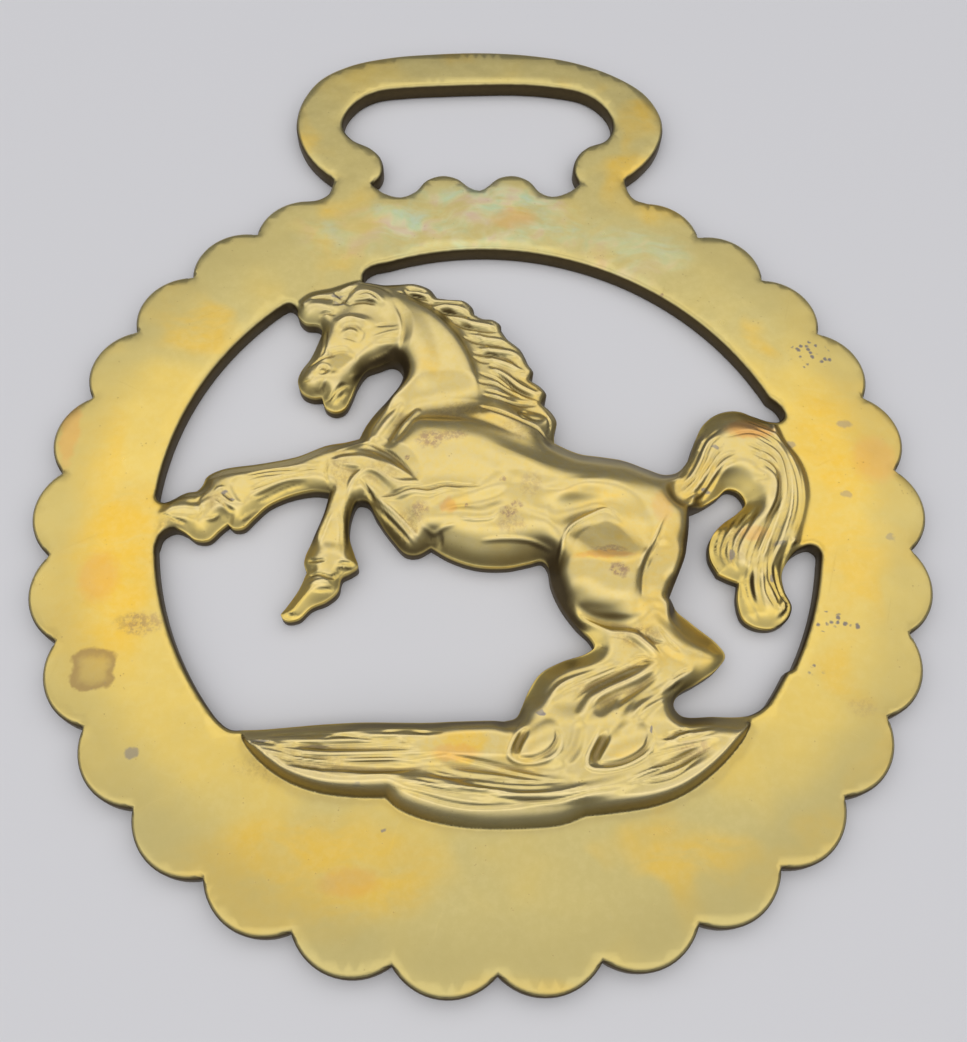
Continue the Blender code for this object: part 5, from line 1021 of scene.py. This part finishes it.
def fine_lines(points):
    """The fine ridges, grooves and strands, added up and kept within their limits."""
    fine = np.zeros(len(points))
    for width, height, path in LINES:
        fold(fine, points, line_table(width, height, path))
    random = np.random.default_rng(STRAND_SEED)
    for first, last, count, width, height in STRANDS:
        for table in strands(first, last, count, width, height, random):
            fold(fine, points, table)
    return np.clip(fine, *FINE_LIMITS)


def rim_slope(distance):
    """The slope at the plate's outlines: a quarter circle of PLATE_ROUND, then a rise at RIM_SLOPE."""
    left = np.clip(PLATE_ROUND - distance, 0, PLATE_ROUND)
    rounded = PLATE_TOP - PLATE_ROUND + np.sqrt(np.clip(PLATE_ROUND**2 - left**2, 0, None))
    return rounded + RIM_SLOPE * np.maximum(distance - PLATE_ROUND, 0)


def relief(points, distance, loops):
    """The height of the face at each point, from the distance to the nearest outline.

    It is the smaller of two surfaces, the carved horse on the plate and the slopes that rise from the
    outlines, with a round between them. The fine lines come last, so that no slope takes them away.
    """
    plain = ground(points)
    field = closed([FIELD], FIELD_STEP)
    stands = np.where(inside(points, field), ease(distance_to(points, [field]), 0, FIELD_BANK), 0)
    on_plate = 1 - stands
    z = stands * carved(points, plain) + on_plate * plain
    horse = on_plate < 1
    slope = np.zeros(len(points))
    slope[horse] = edge_of(points[horse], smooth_distance(points[horse], distance[horse], loops))
    slope = stands * slope + on_plate * rim_slope(distance)
    wide = LOW_BLEND + HIGH_BLEND * np.clip(z - HIGH_FROM, 0, HIGH_SPAN) ** HIGH_POWER
    z = soft_min(z, slope, stands * wide + on_plate * PLATE_BLEND)
    fine = fine_lines(points) * ease(distance, *FINE_FADE) * stands
    return np.minimum(z + fine, RELIEF_TOP)


# Mesh


def rim_outline(step, arc_step):
    """The hanger, its two necks and the scallops, which stop where they run into the necks."""
    lobes = [scallop(index, arc_step) for index in CAST_SCALLOPS]
    lobes[0] = lobes[0][lobes[0][:, 0] < LEFT_NECK[-1][0]]
    beyond = (lobes[-1][:, 0] < RIGHT_NECK[0][0]) & (lobes[-1][:, 1] > 0)
    lobes[-1] = lobes[-1][~beyond]
    return closed([HANGER, LEFT_NECK] + lobes + [RIGHT_NECK], step)


def openings(step, arc_step):
    """The strap slot and the four spaces round the horse."""
    return [
        closed([SLOT_TOP, SLOT_WAVES], HANGER_STEP),
        closed(MANE_EDGE + [BACK_AND_TAIL, rim_arc(23, 108, 27.85, 27.2, arc_step), POLL], step),
        closed([rim_arc(131, 175, 27.7, 27.7, arc_step), RAISED_LEG_TOP, THROAT_AND_JAW, FACE], step),
        closed(
            [
                RAISED_HOOF, RAISED_LEG_UNDER, BENT_LEG_FRONT, BENT_LEG_BACK, BELLY_AND_SHIN,
                GROUND_LEFT, rim_arc(217.5, 186, 27.4, 27.4, arc_step),
            ],
            step,
        ),
        closed(
            [
                BUTTOCK, TAIL_INNER, TAIL_KINK, TAIL_END, rim_arc(349, 329.5, 28.15, 27.9, arc_step),
                [at(329.5, 27.9), at(328.3, 27.5)], rim_arc(328.3, 322, 27.5, 27.45, arc_step),
                HOCK_AND_GROUND,
            ],
            step,
        ),
    ]


def inset(loop, depth, solid_left):
    """The outline's points moved into the material along the mean of their two sides' normals."""
    ahead = np.roll(loop, -1, axis=0) - loop
    ahead /= np.linalg.norm(ahead, axis=1)[:, None]
    behind = np.roll(ahead, 1, axis=0)
    normal = np.column_stack([-(ahead + behind)[:, 1], (ahead + behind)[:, 0]])
    normal /= np.maximum(np.linalg.norm(normal, axis=1)[:, None], 1e-6)
    return loop + depth * normal * (1 if solid_left else -1)


def turns_left(loop):
    """Whether the closed outline runs anticlockwise."""
    x, y = loop.T
    return (x * np.roll(y, -1) - np.roll(x, -1) * y).sum() > 0


def rings_inside(loops, depth):
    """The outlines' points moved in by the depth, without those that come too near another side."""
    rings = np.vstack([inset(loop, depth, turns_left(loop) == (i == 0)) for i, loop in enumerate(loops)])
    return rings[distance_to(rings, loops, 1.0) > RING_SHARE * depth]


def hexagons(x_range, y_range, step):
    """Points on a grid of equal triangles."""
    rows = np.arange(*y_range, step * np.sqrt(3) / 2)
    columns = np.arange(*x_range, step)
    x = columns[None, :] + step / 2 * (np.arange(len(rows)) % 2)[:, None]
    y = np.repeat(rows[:, None], len(columns), axis=1)
    return np.column_stack([x.ravel(), y.ravel()])


def spread(points, gap):
    """One point for each square of the gap's size, the first of those in it."""
    _, first = np.unique(np.floor(points / gap).astype(int), axis=0, return_index=True)
    return points[np.sort(first)]


def on_casting(points, loops):
    """Which points lie on the casting: inside its rim, and in none of its open spaces."""
    on = inside(points, loops[0])
    for loop in loops[1:]:
        on &= ~inside(points, loop)
    return on


def triangulated(points, loops):
    """Triangles over the points that keep every outline's sides, without those in the open spaces."""
    counts = np.array([len(loop) for loop in loops])
    starts = np.repeat(np.cumsum(counts) - counts, counts)
    index = np.arange(len(starts))
    sides = np.column_stack([index, starts + (index - starts + 1) % np.repeat(counts, counts)])
    flat = [Vector(point) for point in points]
    vertices, _, faces, origins, _, _ = delaunay_2d_cdt(flat, sides.tolist(), [], 0, 1e-6)
    if len(vertices) != len(points):
        raise ValueError("two outlines cross or touch")
    index = np.array([origin[0] for origin in origins])
    faces = index[np.array([list(face) for face in faces])]
    return faces[on_casting(points[faces].mean(axis=1), loops)]


def sides_of(faces):
    """The two ends of every triangle's three sides, each in its triangle's direction."""
    return np.vstack([faces[:, [0, 1]], faces[:, [1, 2]], faces[:, [2, 0]]]).T


def free_edges(faces, count):
    """The triangles' sides that no other triangle shares."""
    a, b = sides_of(faces)
    alone = ~np.isin(a * count + b, b * count + a)
    return a[alone], b[alone]


def way_out(points, centre=0.0):
    """How far out from the centre's x each point is, as a share of the round opening's half-sizes."""
    return np.hypot((points[:, 0] - centre) / OPENING[1], points[:, 1] / OPENING[2])


def face_points(loops):
    """Points for the face: rings inside the outlines and along the mound's foot, a fine and a wide grid."""
    rings = np.vstack([rings_inside(loops, depth) for depth in EDGE_RINGS])
    mound = closed(MOUND_EDGE, MOUND_STEP)
    feet = np.vstack([inset(mound, depth, turns_left(mound)) for depth in FOOT_RINGS])
    feet = feet[feet[:, 1] < FOOT_TOP]
    fine = hexagons(*RELIEF_BOX, RELIEF_STEP)
    fine = fine[((way_out(fine, OPENING[0]) < FINE_OUT) & (fine[:, 1] > GROUND_Y)) | inside(fine, mound)]
    wide = hexagons(*PLATE_BOX, PLATE_STEP)
    wide = wide[(way_out(wide) > WIDE_OUT) & ~inside(wide, mound)]
    added = np.vstack([feet, fine, wide])
    added = added[on_casting(added, loops)]
    added = added[distance_to(added, loops, 2.0) > EDGE_RINGS[-1] + RING_GAP]
    return np.vstack([spread(rings[on_casting(rings, loops)], RING_SPREAD), added])


def hollows(points, height, faces, rounds=12, reach=0.3):
    """How far each point lies below its surroundings: their mean height less its own.

    The mean is taken again and again, and a neighbour counts by exp(-(its distance / reach) ** 2).
    """
    a, b = sides_of(faces)
    a, b = np.concatenate([a, b]), np.concatenate([b, a])
    weight = np.exp(-((points[a] - points[b]) ** 2).sum(axis=1) / reach**2)
    whole = 1 + np.bincount(a, weight, len(height))
    mean = height
    for _ in range(rounds):
        mean = (mean + np.bincount(a, weight * mean[b], len(height))) / whole
    return mean - height


def steepness(points, height, faces):
    """One less the upright part of each point's normal, from the triangles round it."""
    corners = np.column_stack([points, height])[faces]
    normal = np.cross(corners[:, 1] - corners[:, 0], corners[:, 2] - corners[:, 0])
    total = np.stack([np.bincount(faces.ravel(), np.repeat(part, 3), len(points)) for part in normal.T])
    return 1 - total[2] / np.linalg.norm(total, axis=0)


def add_values(mesh, name, on_face, elsewhere):
    """Gives the mesh a named value at each point: the face's own come first, and all others have one."""
    values = np.full(len(mesh.vertices), elsewhere, np.float32)
    values[: len(on_face)] = on_face
    mesh.attributes.new(name, "FLOAT", "POINT").data.foreach_set("value", values)


def casting():
    """The whole casting: the carved face, the walls and the flat back with a small round at its edge."""
    loops = [rim_outline(HANGER_STEP, RIM_STEP)] + openings(CURVE_STEP, RIM_STEP)
    outline = np.vstack(loops)
    points = np.vstack([outline, face_points(loops)])
    distance = distance_to(points, loops)
    distance[: len(outline)] = 0
    height = relief(points, distance, loops)
    face = triangulated(points, loops)
    under = np.vstack([outline, rings_inside(loops, BACK_ROUND)])
    back = triangulated(under, loops)[:, ::-1] + len(points)
    a, b = free_edges(face, len(points))
    walls = np.vstack(
        [
            np.column_stack([b, a, a + len(points)]),
            np.column_stack([b, a + len(points), b + len(points)]),
        ]
    )
    lift = np.where(np.arange(len(under)) < len(outline), BACK_ROUND, 0.0)
    vertices = np.vstack([np.column_stack([points, height]), np.column_stack([under, lift])]) * MM
    faces = np.vstack([face, back, walls])
    mesh = bpy.data.meshes.new("brass_casting")
    mesh.from_pydata(vertices.tolist(), [], faces.tolist())
    mesh.shade_smooth()
    add_values(mesh, "recess", hollows(points, height, face) * ease(distance, *RECESS_FADE), 0.0)
    add_values(mesh, "steep", steepness(points, height, face), 1.0)
    return mesh


# Finish

YELLOW = (0.82, 0.60, 0.15)
GOLDEN = (0.88, 0.56, 0.075)
DULL = (0.66, 0.54, 0.20)
PALE = (0.76, 0.61, 0.27)
# Olive painted shade for sloping faces.
OLIVE_SLOPE_SHADE = (0.42, 0.37, 0.17)
ORANGE = (0.80, 0.38, 0.10)
BROWN = (0.36, 0.23, 0.09)
MAUVE = (0.34, 0.20, 0.14)
GREY = (0.24, 0.22, 0.22)
STRAW = (0.88, 0.74, 0.34)
MARGIN = (0.55, 0.45, 0.17)
RUBBED = (0.92, 0.76, 0.40)
DIRT = (0.20, 0.135, 0.055)
# Near-black painted shade for the walls and steepest slopes, and a lighter tone of it that noise mixes in.
PAINTED_WALL_SHADE = (0.085, 0.062, 0.03)
LIGHTER_WALL_SHADE = (0.12, 0.088, 0.04)
# How much specks, pits, dirt and the film by the slot hide the tint under them.
SPECK_SHARE = 0.85
PIT_SHARE = 0.4
DIRT_SHARE = 0.75
FILM_SHARE = 0.55
FILM_HUES = (0.02, 0.42)
FILM_SATURATION = 0.33
FILM_VALUE = 0.82
# Roughness where it is polished, how far it varies, and what dirt and scratches add.
POLISHED = 0.24
POLISH_RANGE = 0.14
DIRT_ROUGHNESS = 0.22
SCRATCH_ROUGHNESS = 0.12
# Heights of the broad swells and the grain, and depths of pits and scratches.
SWELL_HEIGHT = 0.10
GRAIN_HEIGHT = 0.006
PIT_DEPTH = 0.03
SCRATCH_DEPTH = 0.004
BUMP_STRENGTH = 0.5
# Each set of scratches: how it is turned, and how far it is shifted from the others.
SCRATCHES = ((0.5, 0.0), (1.9, 40.0), (2.7, 90.0))
# A spot fades out between these shares of its half-sizes.
SPOT_FADE = (1.15, 0.55)
# Stains and tints: x, y, half-sizes in x and y, and strength.
GOLDEN_SPOTS = [
    (-31, -5, 5, 9, 1.0), (33, 6, 6, 8, 1.0), (-14, -29, 11, 4, 0.8), (30, -3, 4, 5, 0.6),
    (-33, 6, 3, 6, 0.6), (-3, -20.6, 3.4, 1.2, 1.0), (8.5, 0.3, 3.5, 1.4, 0.7), (12.6, -3.2, 1.8, 3.4, 0.6),
    (-2.6, -0.4, 1.5, 0.9, 0.7), (9.4, -4.9, 3.2, 0.5, 0.8), (10.2, -20.5, 1.3, 0.8, 0.8),
    (2.6, 7.6, 1.6, 1.0, 0.6), (22, -30, 5, 2.5, 0.4),
]
ORANGE_SPOTS = [
    (23.2, 7.0, 2.6, 1.1, 0.75), (-31.5, -5.5, 1.8, 2.4, 0.35), (34, 4.5, 2.2, 2.6, 0.35),
    (9.5, -5.1, 2.6, 0.4, 0.55), (-3.2, -0.4, 0.7, 0.7, 0.5), (14.4, -0.8, 1.0, 1.6, 0.3),
    (22.2, -2.7, 1.6, 0.8, 0.45), (3.5, 31, 2.5, 1.4, 0.35), (-3, -20.6, 2.0, 0.7, 0.4),
    (-10.8, -29.5, 2.4, 1.2, 0.3), (-35.5, 8, 0.9, 4, 0.4),
]
MAUVE_SPOTS = [
    (-4.6, 5.6, 1.5, 0.8, 0.65), (-2.6, 5.9, 1.2, 0.6, 0.5), (1.7, -1.2, 0.8, 0.6, 0.7),
    (2.4, -0.5, 0.5, 0.4, 0.7), (1.9, -2.1, 1.3, 1.0, 0.35), (10.3, -6.5, 0.8, 0.65, 0.75),
    (-5.5, -0.5, 0.8, 0.7, 0.6), (1.3, 1.7, 0.3, 0.25, 0.7), (-1.7, -0.35, 0.22, 0.2, 0.8),
    (3.6, 1.3, 1.1, 1.3, 0.25), (9.6, -4.6, 1.6, 0.35, 0.5), (-27.5, -9.5, 1.6, 1.1, 0.45),
    (15, -20.6, 1.6, 0.6, 0.4), (-6.7, 4.2, 0.3, 0.25, 1.0), (17.2, 22, 0.25, 0.25, 0.8),
    (29, -17.5, 1.4, 0.8, 0.2),
]
GREY_SPOTS = [
    (24.3, -3.7, 0.6, 0.25, 0.8), (20.1, -4.6, 0.25, 0.55, 0.85), (18.8, 1.5, 0.4, 0.3, 0.8),
    (19.8, 5.2, 0.25, 0.25, 0.7), (23.3, -6.7, 0.15, 0.4, 0.7), (-21.9, 1.6, 0.3, 0.2, 0.8),
    (-21.2, 1.0, 0.3, 0.15, 0.8), (3.6, -17.7, 0.45, 0.2, 0.85), (-12.9, 21.4, 0.7, 0.2, 0.7),
    (-12.7, 20.6, 0.5, 0.2, 0.6), (-10.4, -22.7, 0.35, 0.3, 0.8), (-17.6, -19.4, 0.8, 0.15, 0.7),
    (-8.3, -25.9, 0.25, 0.2, 0.7), (32, 8, 0.7, 0.5, 0.45), (31, 1, 0.5, 0.4, 0.4), (34, -3, 0.5, 0.4, 0.4),
    (-27.3, -19.8, 0.5, 0.4, 0.6), (11.9, -19.3, 0.15, 0.35, 0.8), (-13.6, -19.8, 1.4, 0.12, 0.6),
    (26.9, 6.0, 0.5, 0.4, 0.5),
]
BROWN_SPOTS = [
    (-6.6, -1.8, 1.6, 1.6, 0.5), (-12.2, 3.6, 1.0, 2.0, 0.4), (-8.6, 3.2, 1.8, 1.2, 0.3),
    (6.0, -8.6, 1.0, 1.6, 0.35), (11.6, -11.6, 2.0, 1.0, 0.5), (-26.0, -1.0, 1.4, 0.6, 0.4),
    (-22.2, 0.8, 1.2, 1.0, 0.4), (9.0, -15.6, 3.0, 1.0, 0.35), (20.2, -3.6, 1.2, 2.2, 0.4),
    (-2.0, 8.8, 3.0, 1.2, 0.35), (3.4, 6.6, 3.0, 1.2, 0.3), (-15.0, -21.0, 5.0, 1.4, 0.3),
    (-28.5, -9.5, 1.4, 1.0, 0.35), (20.0, -35.0, 1.5, 0.8, 0.3),
]
FILM_SPOTS = [(0, 31, 13, 4.5, 1.0), (-13, 29, 5, 3, 0.5), (15, 27, 5, 4, 0.6)]
# Clusters of dark specks: the same columns.
SPECK_FIELDS = [
    (28, -10.4, 3.2, 1.1, 1.0), (30, 15.2, 2.6, 1.8, 1.0), (25.8, -14.5, 1.5, 1.2, 0.5),
    (9, -33, 5, 2, 0.3), (-30, -13, 3, 3, 0.4),
]
# The middle of a squarish brown ring on the rim.
RING_PLACE = (-31.0, -13.2, 0.0)


class Nodes:
    """Short ways to add nodes to a tree. Every answer is an output socket."""

    def __init__(self, tree):
        self.tree = tree

    def add(self, kind, inputs, out=0, **settings):
        made = self.tree.nodes.new(kind)
        for name, value in settings.items():
            setattr(made, name, value)
        for key, value in inputs.items():
            if isinstance(value, bpy.types.NodeSocket):
                self.tree.links.new(value, made.inputs[key])
            else:
                made.inputs[key].default_value = value
        return made.outputs[out]

    def math(self, operation, *values):
        return self.add("ShaderNodeMath", dict(enumerate(values)), operation=operation)

    def times(self, first, second):
        return self.math("MULTIPLY", first, second)

    def plus(self, first, second):
        return self.math("ADD", first, second)

    def less(self, first, second):
        return self.math("SUBTRACT", first, second)

    def most(self, first, second):
        return self.math("MAXIMUM", first, second)

    def vector(self, operation, *values, out=0):
        return self.add("ShaderNodeVectorMath", dict(enumerate(values)), out, operation=operation)

    def scaled(self, vector, by):
        return self.vector("MULTIPLY", vector, by)

    def length(self, vector):
        return self.vector("LENGTH", vector, out=1)

    def between(self, value, low, high, start=0.0, end=1.0):
        """Start up to low, end from high, and a smooth change between."""
        inputs = {"Value": value, "From Min": low, "From Max": high, "To Min": start, "To Max": end}
        return self.add("ShaderNodeMapRange", inputs, interpolation_type="SMOOTHSTEP")

    def noise(self, vector, scale, detail=3.0, rough=0.5, twist=0.0, out=0):
        inputs = {"Vector": vector, "Scale": scale, "Detail": detail, "Roughness": rough, "Distortion": twist}
        return self.add("ShaderNodeTexNoise", inputs, out)

    def dots(self, vector, scale):
        """The distance to the nearest of many scattered points, times the scale."""
        return self.add("ShaderNodeTexVoronoi", {"Vector": vector, "Scale": scale, "Randomness": 1.0}, 0)

    def wobbled(self, place, scale, reach):
        """The place moved about by noise, so that what is drawn there has an uneven edge."""
        shift = self.vector("SUBTRACT", self.noise(place, scale, 2.0, 0.6, out=1), (0.5, 0.5, 0.5))
        return self.vector("ADD", place, self.vector("SCALE", shift, (0, 0, 0), (0, 0, 0), reach))

    def mix(self, share, first, second):
        inputs = {0: share, 6: colour(first), 7: colour(second)}
        return self.add("ShaderNodeMix", inputs, 2, data_type="RGBA")

    def spots(self, vector, table):
        """Where any of the table's soft ellipses lies, by its strength."""
        found = 0.0
        for x, y, wide, tall, strength in table:
            away = self.scaled(self.vector("SUBTRACT", vector, (x, y, 0)), (1 / wide, 1 / tall, 0))
            found = self.most(found, self.between(self.length(away), *SPOT_FADE, 0.0, strength))
        return found


def colour(value):
    """A colour with its alpha, where it is a plain value and not a socket."""
    return (*value, 1.0) if isinstance(value, tuple) else value


def new_material(name):
    """A material with its nodes on, and its shader."""
    material = bpy.data.materials.new(name)
    material.use_nodes = True
    return material, material.node_tree.nodes["Principled BSDF"]


def large_areas(n, place, broad, y, z, streaks, mottle):
    """Yellow brass with golden and dull areas, painted shade that makes it duller towards the top and the
    bottom, a dull margin along the scallops and pale raised parts.

    Returns the tint, and how far a point is raised.
    """
    clouds = n.noise(broad, 0.09, 2.0, 0.55)
    # Painted shade: the tint turns duller towards the top and the bottom of the face, on top of the dull
    # clouds.
    ends = n.most(n.between(y, 8.0, 26.0), n.between(y, -16.0, -30.0))
    dull = n.between(n.plus(n.times(ends, 0.35), clouds), 0.48, 0.85)
    golden = n.most(n.spots(broad, GOLDEN_SPOTS), n.between(clouds, 0.56, 0.68, 0.0, 0.7))
    golden = n.times(golden, n.between(streaks, 0.25, 0.6, 0.35, 1.0))
    tint = n.mix(dull, YELLOW, DULL)
    tint = n.mix(golden, tint, GOLDEN)
    tint = n.mix(n.between(mottle, 0.35, 0.75, 0.0, 0.3), tint, n.mix(0.5, tint, STRAW))

    from_middle = n.length(n.scaled(place, (1, 1, 0)))
    margin = n.times(n.between(from_middle, 31.0, 35.5, 0.0, 0.6), n.between(y, 32.0, 26.0))
    tint = n.mix(margin, tint, MARGIN)

    raised = n.between(z, 1.9, 2.4)
    pale = n.times(n.between(mottle, 0.3, 0.7, 0.35, 0.8), n.between(golden, 0.0, 1.0, 1.0, 0.35))
    return n.mix(n.times(raised, pale), tint, PALE), raised


def tarnish_film(n, tint, broad, streaks):
    """The colours of a thin film of tarnish by the strap slot, from red through yellow to green."""
    film = n.times(n.spots(broad, FILM_SPOTS), n.between(streaks, 0.3, 0.7))
    hue = n.between(n.noise(broad, 0.45, 2.0), 0.3, 0.7, *FILM_HUES)
    sheen = n.add("ShaderNodeCombineColor", {0: hue, 1: FILM_SATURATION, 2: FILM_VALUE}, mode="HSV")
    return n.mix(n.times(film, FILM_SHARE), tint, sheen)


def stains(n, tint, place, uneven):
    """Orange, mauve, grey and brown stains at their places, and the squarish brown ring on the rim's left."""
    blotched = n.between(n.noise(place, 2.6, 3.0, 0.7), 0.4, 0.6, 0.25, 1.0)
    tint = n.mix(n.spots(uneven, ORANGE_SPOTS), tint, ORANGE)
    tint = n.mix(n.times(n.spots(uneven, MAUVE_SPOTS), blotched), tint, MAUVE)
    tint = n.mix(n.spots(uneven, GREY_SPOTS), tint, GREY)
    tint = n.mix(n.times(n.spots(uneven, BROWN_SPOTS), blotched), tint, BROWN)
    square = n.vector("ABSOLUTE", n.vector("SUBTRACT", uneven, RING_PLACE))
    ring = n.length(n.scaled(n.scaled(square, square), (1, 1, 0)))
    return n.mix(n.times(n.between(ring, 3.2, 2.2), n.between(ring, 0.3, 2.0, 0.35, 0.75)), tint, BROWN)


def marks(n, place, uneven):
    """Where the dark specks, the small pits and the scratches are. Specks and pits are dots in patches."""
    crowd = n.plus(n.spots(uneven, SPECK_FIELDS), n.noise(place, 0.8, 2.0))
    specks = n.between(n.dots(n.wobbled(place, 3.0, 0.25), 1.7), 0.42, 0.2)
    specks = n.times(specks, n.between(crowd, 0.95, 1.25))
    pits = n.times(n.between(n.dots(place, 2.3), 0.16, 0.08), n.between(n.noise(place, 0.5, 2.0), 0.56, 0.66))
    scratches = 0.0
    for turn, shift in SCRATCHES:
        turned = {"Vector": place, "Location": (shift, 0, 0), "Rotation": (0, 0, turn)}
        stretched = n.scaled(n.add("ShaderNodeMapping", turned), (0.12, 5.0, 1.0))
        lines = n.noise(stretched, 1.0, 2.0, 0.5, 0.4)
        scratches = n.most(scratches, n.between(lines, 0.70, 0.78))
    return specks, pits, scratches


def brass_finish():
    """Polished brass, unevenly tarnished: golden and dull areas, stains, dirt in the grooves, and painted
    shade: olive on the slopes, near-black on the walls, duller towards the top and the bottom.
    """
    material, shader = new_material("tarnished_brass")
    tree = material.node_tree
    n = Nodes(tree)
    place = n.scaled(n.add("ShaderNodeTexCoord", {}, 3), (1 / MM, 1 / MM, 1 / MM))
    recess = n.add("ShaderNodeAttribute", {}, 2, attribute_name="recess")
    steep = n.add("ShaderNodeAttribute", {}, 2, attribute_name="steep")
    y, z = (n.add("ShaderNodeSeparateXYZ", {"Vector": place}, i) for i in (1, 2))
    broad = n.wobbled(place, 0.12, 6.0)
    uneven = n.wobbled(place, 1.1, 0.9)
    streaks = n.noise(n.scaled(broad, (0.35, 1.0, 1.0)), 0.5, 3.0, 0.6)
    mottle = n.noise(place, 1.6, 3.0, 0.65)

    tint, raised = large_areas(n, place, broad, y, z, streaks, mottle)
    tint = tarnish_film(n, tint, broad, streaks)
    tint = stains(n, tint, place, uneven)
    specks, pits, scratches = marks(n, place, uneven)
    tint = n.mix(n.times(specks, SPECK_SHARE), tint, GREY)
    tint = n.mix(n.times(pits, PIT_SHARE), tint, BROWN)

    # Dirt in the hollows, less of it on the plate, and rubbed ridges.
    dirt = n.between(n.plus(recess, n.times(n.less(mottle, 0.5), 0.05)), 0.03, 0.16)
    dirt = n.times(dirt, n.between(z, 1.72, 1.95, 0.25, 1.0))
    tint = n.mix(n.times(dirt, DIRT_SHARE), tint, DIRT)
    tint = n.mix(n.times(raised, n.between(recess, -0.02, -0.1, 0.0, 0.45)), tint, RUBBED)

    # Painted shade: olive on sloping faces, more the steeper they are, and near-black on the rough walls and
    # steepest slopes, which the mound's bank shows less.
    tint = n.mix(n.between(steep, 0.05, 0.3, 0.0, 0.6), tint, OLIVE_SLOPE_SHADE)
    bank = n.times(n.between(z, 1.55, 1.75), n.between(y, -18.6, -19.6))
    painted_wall_shade = n.times(n.between(steep, 0.15, 0.5), n.between(bank, 0.0, 1.0, 1.0, 0.55))
    tint = n.mix(painted_wall_shade, tint, n.mix(mottle, PAINTED_WALL_SHADE, LIGHTER_WALL_SHADE))

    rough = n.plus(POLISHED, n.times(n.noise(place, 0.3, 2.0, 0.6), POLISH_RANGE))
    rough = n.plus(rough, n.times(n.most(n.most(dirt, specks), painted_wall_shade), DIRT_ROUGHNESS))
    rough = n.plus(rough, n.times(scratches, SCRATCH_ROUGHNESS))

    swells = n.times(n.noise(place, 0.35, 1.0, 0.5), SWELL_HEIGHT)
    bumps = n.plus(swells, n.times(n.noise(place, 5.0, 2.0, 0.6), GRAIN_HEIGHT))
    bumps = n.less(bumps, n.times(pits, PIT_DEPTH))
    bumps = n.less(bumps, n.times(scratches, SCRATCH_DEPTH))
    normal = n.add("ShaderNodeBump", {"Strength": BUMP_STRENGTH, "Distance": MM, "Height": bumps})
    for socket, value in (("Base Color", tint), ("Roughness", rough), ("Normal", normal)):
        tree.links.new(value, shader.inputs[socket])
    shader.inputs["Metallic"].default_value = 1.0
    return material


# Scene: the table's and the lights' lengths are in metres.

TABLE_HALF = 0.9
TABLE_DROP = 2e-5
TABLE_COLOUR = (0.72, 0.71, 0.69)
TABLE_ROUGHNESS = 0.7
# Camera: its place in millimetres, and its right and forward directions.
CAMERA_PLACE = (-4.25, -37.50, 81.8)
CAMERA_RIGHT = (0.9989, -0.0301, 0.0356)
CAMERA_FORWARD = (0.0449, 0.4142, -0.9091)
CAMERA_LENS = 36.38
CAMERA_SENSOR = 36.0
# Soft boxes: all at one height and of one width, each from its south to its north side at its own radiance.
LIGHT_HEIGHT = 0.55
LIGHT_WIDTH = 2.8
LIGHT_SHIFT = -0.3
LIGHT_COLOUR = (1.0, 0.99, 0.97)
SOFT_BOXES = [
    ("far_box", 0.36, 0.70, 0.70), ("north_box", 0.19, 0.36, 1.05), ("inner_box", 0.11, 0.19, 0.82),
    ("middle_box", -0.10, 0.11, 0.62), ("south_box", -0.45, -0.10, 1.05), ("near_box", -1.3, -0.45, 0.7),
]
ROOM_COLOUR = (0.55, 0.6, 0.85)
ROOM_STRENGTH = 0.30


def placed(name, data):
    """A new object in the scene."""
    made = bpy.data.objects.new(name, data)
    bpy.context.scene.collection.objects.link(made)
    return made


def pale_table():
    """A plain square under the casting, just below it."""
    mesh = bpy.data.meshes.new("table")
    sides = ((-1, -1), (1, -1), (1, 1), (-1, 1))
    mesh.from_pydata([(x * TABLE_HALF, y * TABLE_HALF, -TABLE_DROP) for x, y in sides], [], [(0, 1, 2, 3)])
    material, shader = new_material("pale_table")
    shader.inputs["Base Color"].default_value = colour(TABLE_COLOUR)
    shader.inputs["Roughness"].default_value = TABLE_ROUGHNESS
    mesh.materials.append(material)
    placed("table", mesh)


def camera():
    """Looks down on the casting from close by, a little from its foot."""
    data = bpy.data.cameras.new("camera")
    data.lens = CAMERA_LENS
    data.sensor_width = CAMERA_SENSOR
    data.clip_start = 0.005
    data.clip_end = 20.0
    made = placed("camera", data)
    right = Vector(CAMERA_RIGHT)
    forward = Vector(CAMERA_FORWARD).normalized()
    up = right.cross(forward).normalized()
    right = forward.cross(up).normalized()
    turn = Matrix((right, up, -forward)).transposed().to_4x4()
    made.matrix_world = Matrix.Translation(Vector(CAMERA_PLACE) * MM) @ turn
    bpy.context.scene.camera = made


def soft_box(name, south, north, radiance):
    """A flat light over the table that faces straight down. Its power is pi * radiance * area."""
    data = bpy.data.lights.new(name, "AREA")
    data.shape = "RECTANGLE"
    data.size = LIGHT_WIDTH
    data.size_y = north - south
    data.energy = radiance * np.pi * LIGHT_WIDTH * (north - south)
    data.color = LIGHT_COLOUR
    placed(name, data).location = (LIGHT_SHIFT, (south + north) / 2, LIGHT_HEIGHT)


def room():
    """The dim bluish surroundings that the casting reflects beyond the soft boxes."""
    world = bpy.data.worlds.new("room")
    bpy.context.scene.world = world
    world.use_nodes = True
    background = world.node_tree.nodes["Background"]
    background.inputs["Color"].default_value = colour(ROOM_COLOUR)
    background.inputs["Strength"].default_value = ROOM_STRENGTH


def main():
    """The casting on its table, with the camera and the lights."""
    bpy.context.scene.view_settings.view_transform = "Standard"
    mesh = casting()
    mesh.materials.append(brass_finish())
    brass = placed("brass_casting", mesh)
    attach(brass, "root")
    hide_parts("horse_brass")
    pale_table()
    camera()
    for row in SOFT_BOXES:
        soft_box(*row)
    room()


main()
